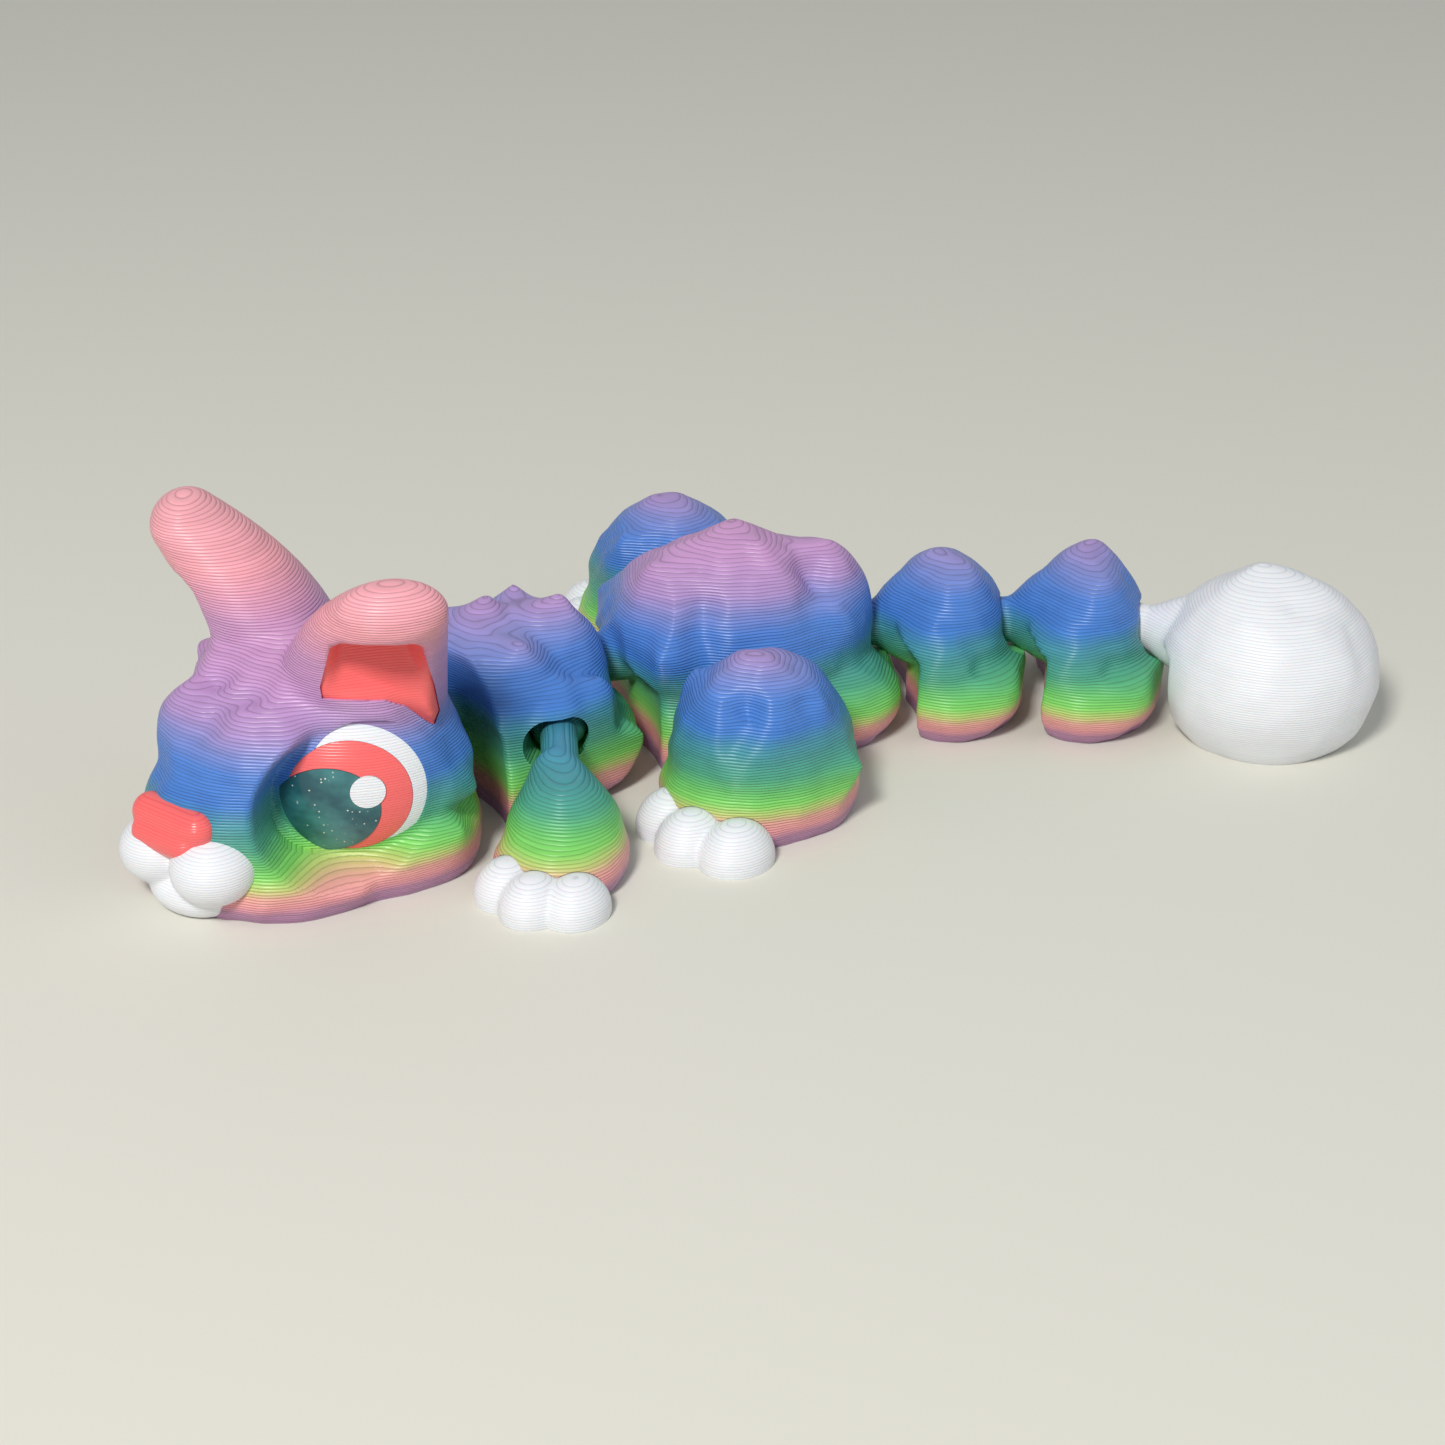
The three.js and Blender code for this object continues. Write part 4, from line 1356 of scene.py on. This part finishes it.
@dataclass
class EyeDisc:
    """One round of the eye's domed face: its middle on the face, half sizes and tilt."""

    middle: Flat
    size: Flat
    tilt: float = 0.0

    def points(self, extra: float = 0.0, count: int = 64) -> list[Flat]:
        """The round's outline, larger by `extra`."""
        cos, sin = math.cos(math.radians(self.tilt)), math.sin(math.radians(self.tilt))
        rim = []
        for number in range(count):
            angle = 2 * math.pi * number / count
            x, y = (self.size[0] + extra) * math.cos(angle), (self.size[1] + extra) * math.sin(angle)
            rim.append((self.middle[0] + x * cos - y * sin, self.middle[1] + x * sin + y * cos))
        return rim


@dataclass
class Ear:
    """A horn of clay from the head's top, which leans outwards as it rises."""

    foot: Vec = (-6.0, 4.4, 12.0)
    lean: Flat = (-3.0, 6.7)
    tip: float = 23.0
    broad: tuple[float, float] = (6.2, 3.9)
    thick: tuple[float, float] = (4.6, 2.6)
    cap: tuple[float, float] = (5.0, 2.3)
    facing: float = -50.0
    nudge: dict[Side, Vec] = field(
        default_factory=lambda: {Side.RIGHT: (0.7, -0.9, 0.2), Side.LEFT: (0.0, 0.0, -0.8)})

    def eggs(self, side: Side, count: int = 14) -> list[Egg]:
        """The ear as a close row of eggs that get smaller."""
        row = []
        for number in range(count):
            climb = number / (count - 1)
            bend = climb ** 1.6
            slim = climb ** 1.7
            shift = self.nudge[side]
            at = (self.foot[0] + self.lean[0] * bend + shift[0],
                  self.foot[1] + self.lean[1] * bend + shift[1],
                  self.foot[2] + (self.tip - self.foot[2]) * climb + shift[2] * climb)
            size = tuple(low + (high - low) * slim for low, high in (self.thick, self.broad[:2], self.cap))
            row.append(Egg(at, size, self.facing).mirrored(side))
        return row


@dataclass
class Head:
    """The head with its ears, eyes, muzzle and nose; its joint is the origin, its nose at -X."""

    eye_at: Vec = (-11.2, 8.6, 8.0)
    eye_facing: float = 45.0
    eye_curve: float = 9.0
    eye_depth: float = 1.6
    white: EyeDisc = field(default_factory=lambda: EyeDisc((1.3, 0.8), (4.7, 4.7)))
    iris: EyeDisc = field(default_factory=lambda: EyeDisc((-0.3, -0.2), (4.4, 4.3)))
    pupil: EyeDisc = field(default_factory=lambda: EyeDisc((-2.0, -1.2), (3.9, 3.4), 20.0))
    glint: EyeDisc = field(default_factory=lambda: EyeDisc((1.0, 0.5), (1.25, 1.2)))
    socket: EyeDisc = field(default_factory=lambda: EyeDisc((-0.1, 0.0), (5.9, 4.9), 14.0))
    ear_at: Vec = (-7.6, 9.0, 17.6)
    ear_facing: float = 50.0
    lining: tuple[Flat, ...] = (
        (-4.7, -2.4), (-4.8, -1.4), (-4.0, 2.0), (-3.2, 2.6), (-0.8, 2.7), (1.5, 2.5), (2.2, 1.9),
        (3.2, -2.4), (3.6, -5.0), (3.1, -5.9), (2.4, -5.2), (1.1, -3.6), (-0.4, -2.7), (-2.6, -2.5),
    )
    skull: tuple[Egg, ...] = (
        Egg((-6.4, 0.0, 8.0), (9.8, 11.4, 9.1)),
        Egg((-5.4, 0.0, 1.8), (9.8, 12.3, 5.8)),
        Egg((-13.6, 0.0, 5.2), (6.9, 7.4, 7.8)),
        Egg((-12.8, 0.0, 9.4), (5.8, 7.9, 5.6)),
        Egg((-11.5, 0.0, 1.8), (8.8, 10.2, 4.6)),
    )
    ear: "Ear" = field(default_factory=lambda: Ear())
    locks: tuple[Lock, ...] = (
        Lock((-15.0, 0.6, 13.6), (-18.8, 0.6, 8.6), 2.8),
        Lock((-7.4, 0.6, 18.3), (-13.4, 0.4, 14.4), 3.0),
        Lock((-10.2, 5.0, 17.0), (-16.6, 4.0, 11.4), 2.8),
        Lock((-11.2, -2.8, 16.2), (-17.0, -3.0, 10.2), 2.8),
        Lock((-13.0, 2.4, 14.0), (-18.0, 2.2, 8.6), 2.0, 1.2),
        Lock((-13.2, -1.0, 14.0), (-18.0, -1.0, 8.6), 2.0, 1.2),
    )
    cheeks: tuple[Lock, ...] = (
        Lock((-13.9, 7.0, 12.4), (-17.2, 6.0, 8.4), 3.0),
        Lock((-8.6, 9.2, 14.0), (-12.8, 7.2, 13.2), 2.4),
        Lock((-8.4, 9.6, 14.1), (-5.4, 11.6, 11.6), 2.4),
        Lock((-0.8, 10.4, 8.2), (-3.0, 11.4, 10.6), 2.8),
        Lock((-2.0, 12.0, 6.2), (-5.6, 12.0, 7.4), 2.6),
        Lock((-4.4, 12.7, 4.2), (-8.0, 11.6, 4.2), 2.6),
        Lock((-9.4, 11.3, 3.0), (-12.4, 9.0, 2.6), 2.2),
    )
    muzzle: tuple[Egg, ...] = (
        Egg((-19.2, 2.6, 3.9), (3.2, 3.1, 2.6)), Egg((-19.2, -2.6, 3.9), (3.2, 3.1, 2.6)),
        Egg((-18.7, 0.0, 1.4), (2.9, 3.8, 1.9)),
    )
    nose: tuple[Lump, ...] = (
        Horn((-19.8, 2.8, 6.9), (-19.8, -1.9, 6.9), 1.4, 1.35),
        Horn((-20.4, 2.5, 5.7), (-20.4, -1.3, 5.7), 1.3, 1.25),
        Horn((-19.0, 2.4, 6.5), (-19.0, -1.6, 6.5), 1.3, 1.25),
    )

    def _faces(self, side: Side) -> tuple[Face, Face]:
        """The faces of an eye and of an ear's lining."""
        nudge = self.ear.nudge[side]
        ear_at = (self.ear_at[0] + nudge[0], self.ear_at[1] + nudge[1], self.ear_at[2])
        return Face(self.eye_at, self.eye_facing, side), Face(ear_at, self.ear_facing, side)

    def _dome(self, side: Side, rise: float) -> bpy.types.Object:
        """The ball that an eye's face is part of, larger by `rise`."""
        turn = math.radians(self.eye_facing)
        at = (self.eye_at[0] + math.cos(turn) * self.eye_curve,
              (self.eye_at[1] - math.sin(turn) * self.eye_curve) * side.value, self.eye_at[2])
        return ball(at, self.eye_curve + rise, 128)

    def _eye_depth(self, across: np.ndarray, up: np.ndarray) -> np.ndarray:
        """How far the eye's domed face stands over its flat one."""
        inside = np.clip(self.eye_curve ** 2 - across ** 2 - up ** 2, 1.0, None)
        return np.sqrt(inside) - self.eye_curve + 0.05

    @staticmethod
    def _ear_depth(across: np.ndarray, up: np.ndarray) -> np.ndarray:
        """The hollow of an ear, deepest under its rounded top."""
        return 0.2 - 0.18 * np.clip(up + 2.0, 0.0, None) + 0.03 * across ** 2

    def _disc(self, disc: EyeDisc, extra: float, face: Face, low: float, high: float) -> bpy.types.Object:
        """A round's prism on a face, from one depth to another."""
        return face.stand(prism(disc.points(extra), low, high))

    def _eye(self, place: Place, side: Side, palette: Palette) -> None:
        """Makes one eye's four colours."""
        face = Face(self.eye_at, self.eye_facing, side)
        parts = (
            ("eye_white", self.white, 0.0, (self.iris, self.pupil), Slot.WHITE),
            ("iris", self.iris, 0.0, (self.pupil, self.glint), Slot.CORAL),
            ("pupil", self.pupil, 0.05, (self.glint,), Slot.TEAL),
            ("highlight", self.glint, 0.12, (), Slot.WHITE),
        )
        for kind, disc, rise, taken, slot in parts:
            name = f"{side.word}_{kind}"
            clay = Clay(f"{name}_inlay", (), self._disc(disc, 0.0, face, -self.eye_depth, 6.0))
            clay.keep(self._dome(side, rise))
            for other in taken:
                clay.carve(self._disc(other, 0.03, face, -8.0, 8.0))
            clay.put(place, "head", name, slot, palette)

    def build(self, palette: Palette) -> None:
        """Makes the head and all that is set in it."""
        place = joint_place("head", HEAD_TURN)
        clay = Clay("head_skin", self.skull).fuse(8).ruffle(0.8, 3.2)
        clay.pull([*self.locks, *both(self.cheeks)])
        clay.add([*self.ear.eggs(Side.RIGHT), *self.ear.eggs(Side.LEFT)]).fuse(6)
        linings = []
        for side in Side:
            eye, ear = self._faces(side)
            clay.press(eye, self.socket.points(), self._eye_depth, 0.3, 1.3)
            clay.press(ear, self.lining, self._ear_depth, 1.2, 0.5)
        clay.smooth(2)
        for side in Side:
            eye, ear = self._faces(side)
            panel = Clay(f"{side.word}_ear_lining", (), clay.copy())
            panel.body.data.transform(Matrix.Translation(ear.frame().to_3x3() @ Vector((0, 0, -0.25))))
            linings.append(panel.keep(ear.stand(prism(self.lining, -2.6, 14.0))))
            clay.carve(*(self._disc(disc, 0.02, eye, -self.eye_depth, 9.0)
                         for disc in (self.white, self.iris, self.pupil)),
                       ear.stand(prism(self.lining, -2.5, 14.0)))
        clay.keep(HEAD_REAR.own(0.0))
        muzzle = Clay("muzzle_inlay", self.muzzle).fuse(8, 0.2)
        nose = Clay("nose_inlay", self.nose).fuse(9, 0.15)
        muzzle.carve(nose.copy())
        clay.carve(muzzle.copy(), nose.copy(), *CHAIN.socket((0.0, 0.0), 0.0, HEAD_SWING))
        clay.level().put(place, "head", "head_shell", Slot.RAINBOW, palette)
        muzzle.level().put(place, "head", "muzzle", Slot.WHITE, palette)
        nose.put(place, "head", "nose", Slot.CORAL, palette)
        for side, panel in zip(Side, linings):
            self._eye(place, side, palette)
            panel.put(place, "head", f"{side.word}_inner_ear", Slot.CORAL, palette)


# ---- studio --------------------------------------------------------------------------------------
@dataclass
class Studio:
    """The tabletop, the lights and the camera."""

    azimuth: float = -14.0
    elevation: float = 26.0
    distance: float = 0.240
    lens: float = 74.74
    offset: Flat = (0.00212, 0.00052)

    def _floor(self) -> None:
        """A wide pale tabletop."""
        settle()
        bpy.ops.mesh.primitive_grid_add(x_subdivisions=4, y_subdivisions=4, size=6.0)
        floor = bpy.context.object
        floor.name = "tabletop"
        floor.data.materials.append(FloorFinish().material())

    def _lamp(self, name: str, at: Vec, size: float, power: float, colour: Vec) -> None:
        """A square lamp that looks at the toy.

        Args:
            name: the lamp's name.
            at: its place.
            size: its width.
            power: its power in watts.
            colour: its colour.
        """
        settle()
        bpy.ops.object.light_add(type="AREA", location=at)
        lamp = bpy.context.object
        lamp.name = name
        lamp.data.size = size
        lamp.data.energy = power
        lamp.data.color = colour
        lamp.rotation_euler = (Vector((0.0, 0.0, 0.0)) - Vector(at)).to_track_quat("-Z", "Y").to_euler()

    def _camera(self) -> None:
        """The camera at the resting view."""
        turn, rise = math.radians(self.azimuth), math.radians(self.elevation)
        back = Vector((math.sin(turn) * math.cos(rise), -math.cos(turn) * math.cos(rise), math.sin(rise)))
        right = Vector((math.cos(turn), math.sin(turn), 0.0))
        up = back.cross(right)
        at = back * self.distance - right * self.offset[0] - up * self.offset[1]
        settle()
        bpy.ops.object.camera_add()
        camera = bpy.context.object
        camera.matrix_world = Matrix.Translation(at) @ Matrix((right, up, back)).transposed().to_4x4()
        camera.data.lens = self.lens
        camera.data.sensor_width = 36.0
        camera.data.clip_start = 0.01
        bpy.context.scene.camera = camera

    def build(self) -> None:
        """Sets everything up."""
        self._floor()
        self._camera()
        self._lamp("key_lamp", (-0.27, -0.40, 0.47), 0.12, 3.3, (1.0, 0.985, 0.95))
        self._lamp("fill_lamp", (0.45, -0.35, 0.35), 0.6, 0.5, (0.92, 0.96, 1.0))
        self._lamp("back_lamp", (0.1, 0.6, 0.5), 0.6, 0.3, (1.0, 1.0, 1.0))
        world = bpy.data.worlds.new("room")
        world.use_nodes = True
        world.node_tree.nodes["Background"].inputs[0].default_value = (0.80, 0.84, 0.86, 1.0)
        world.node_tree.nodes["Background"].inputs[1].default_value = 0.34
        bpy.context.scene.world = world
        bpy.context.scene.view_settings.view_transform = "Standard"


def main() -> None:
    """Builds every piece in order."""
    logging.basicConfig(level=logging.INFO, format="%(name)s %(message)s")
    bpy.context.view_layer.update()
    palette = Palette()
    Rump().build(palette)
    Chest().build(palette)
    Head().build(palette)
    TailLink(1, RUMP_REAR, FIRST_PEAKS).build(palette)
    TailLink(2, TAIL_REAR, SECOND_PEAKS).build(palette)
    TailBall().build(palette)
    for side in Side:
        front_leg(side).build(palette)
        rear_leg(side).build(palette)
    Studio().build()


if __name__ == "__main__":
    main()
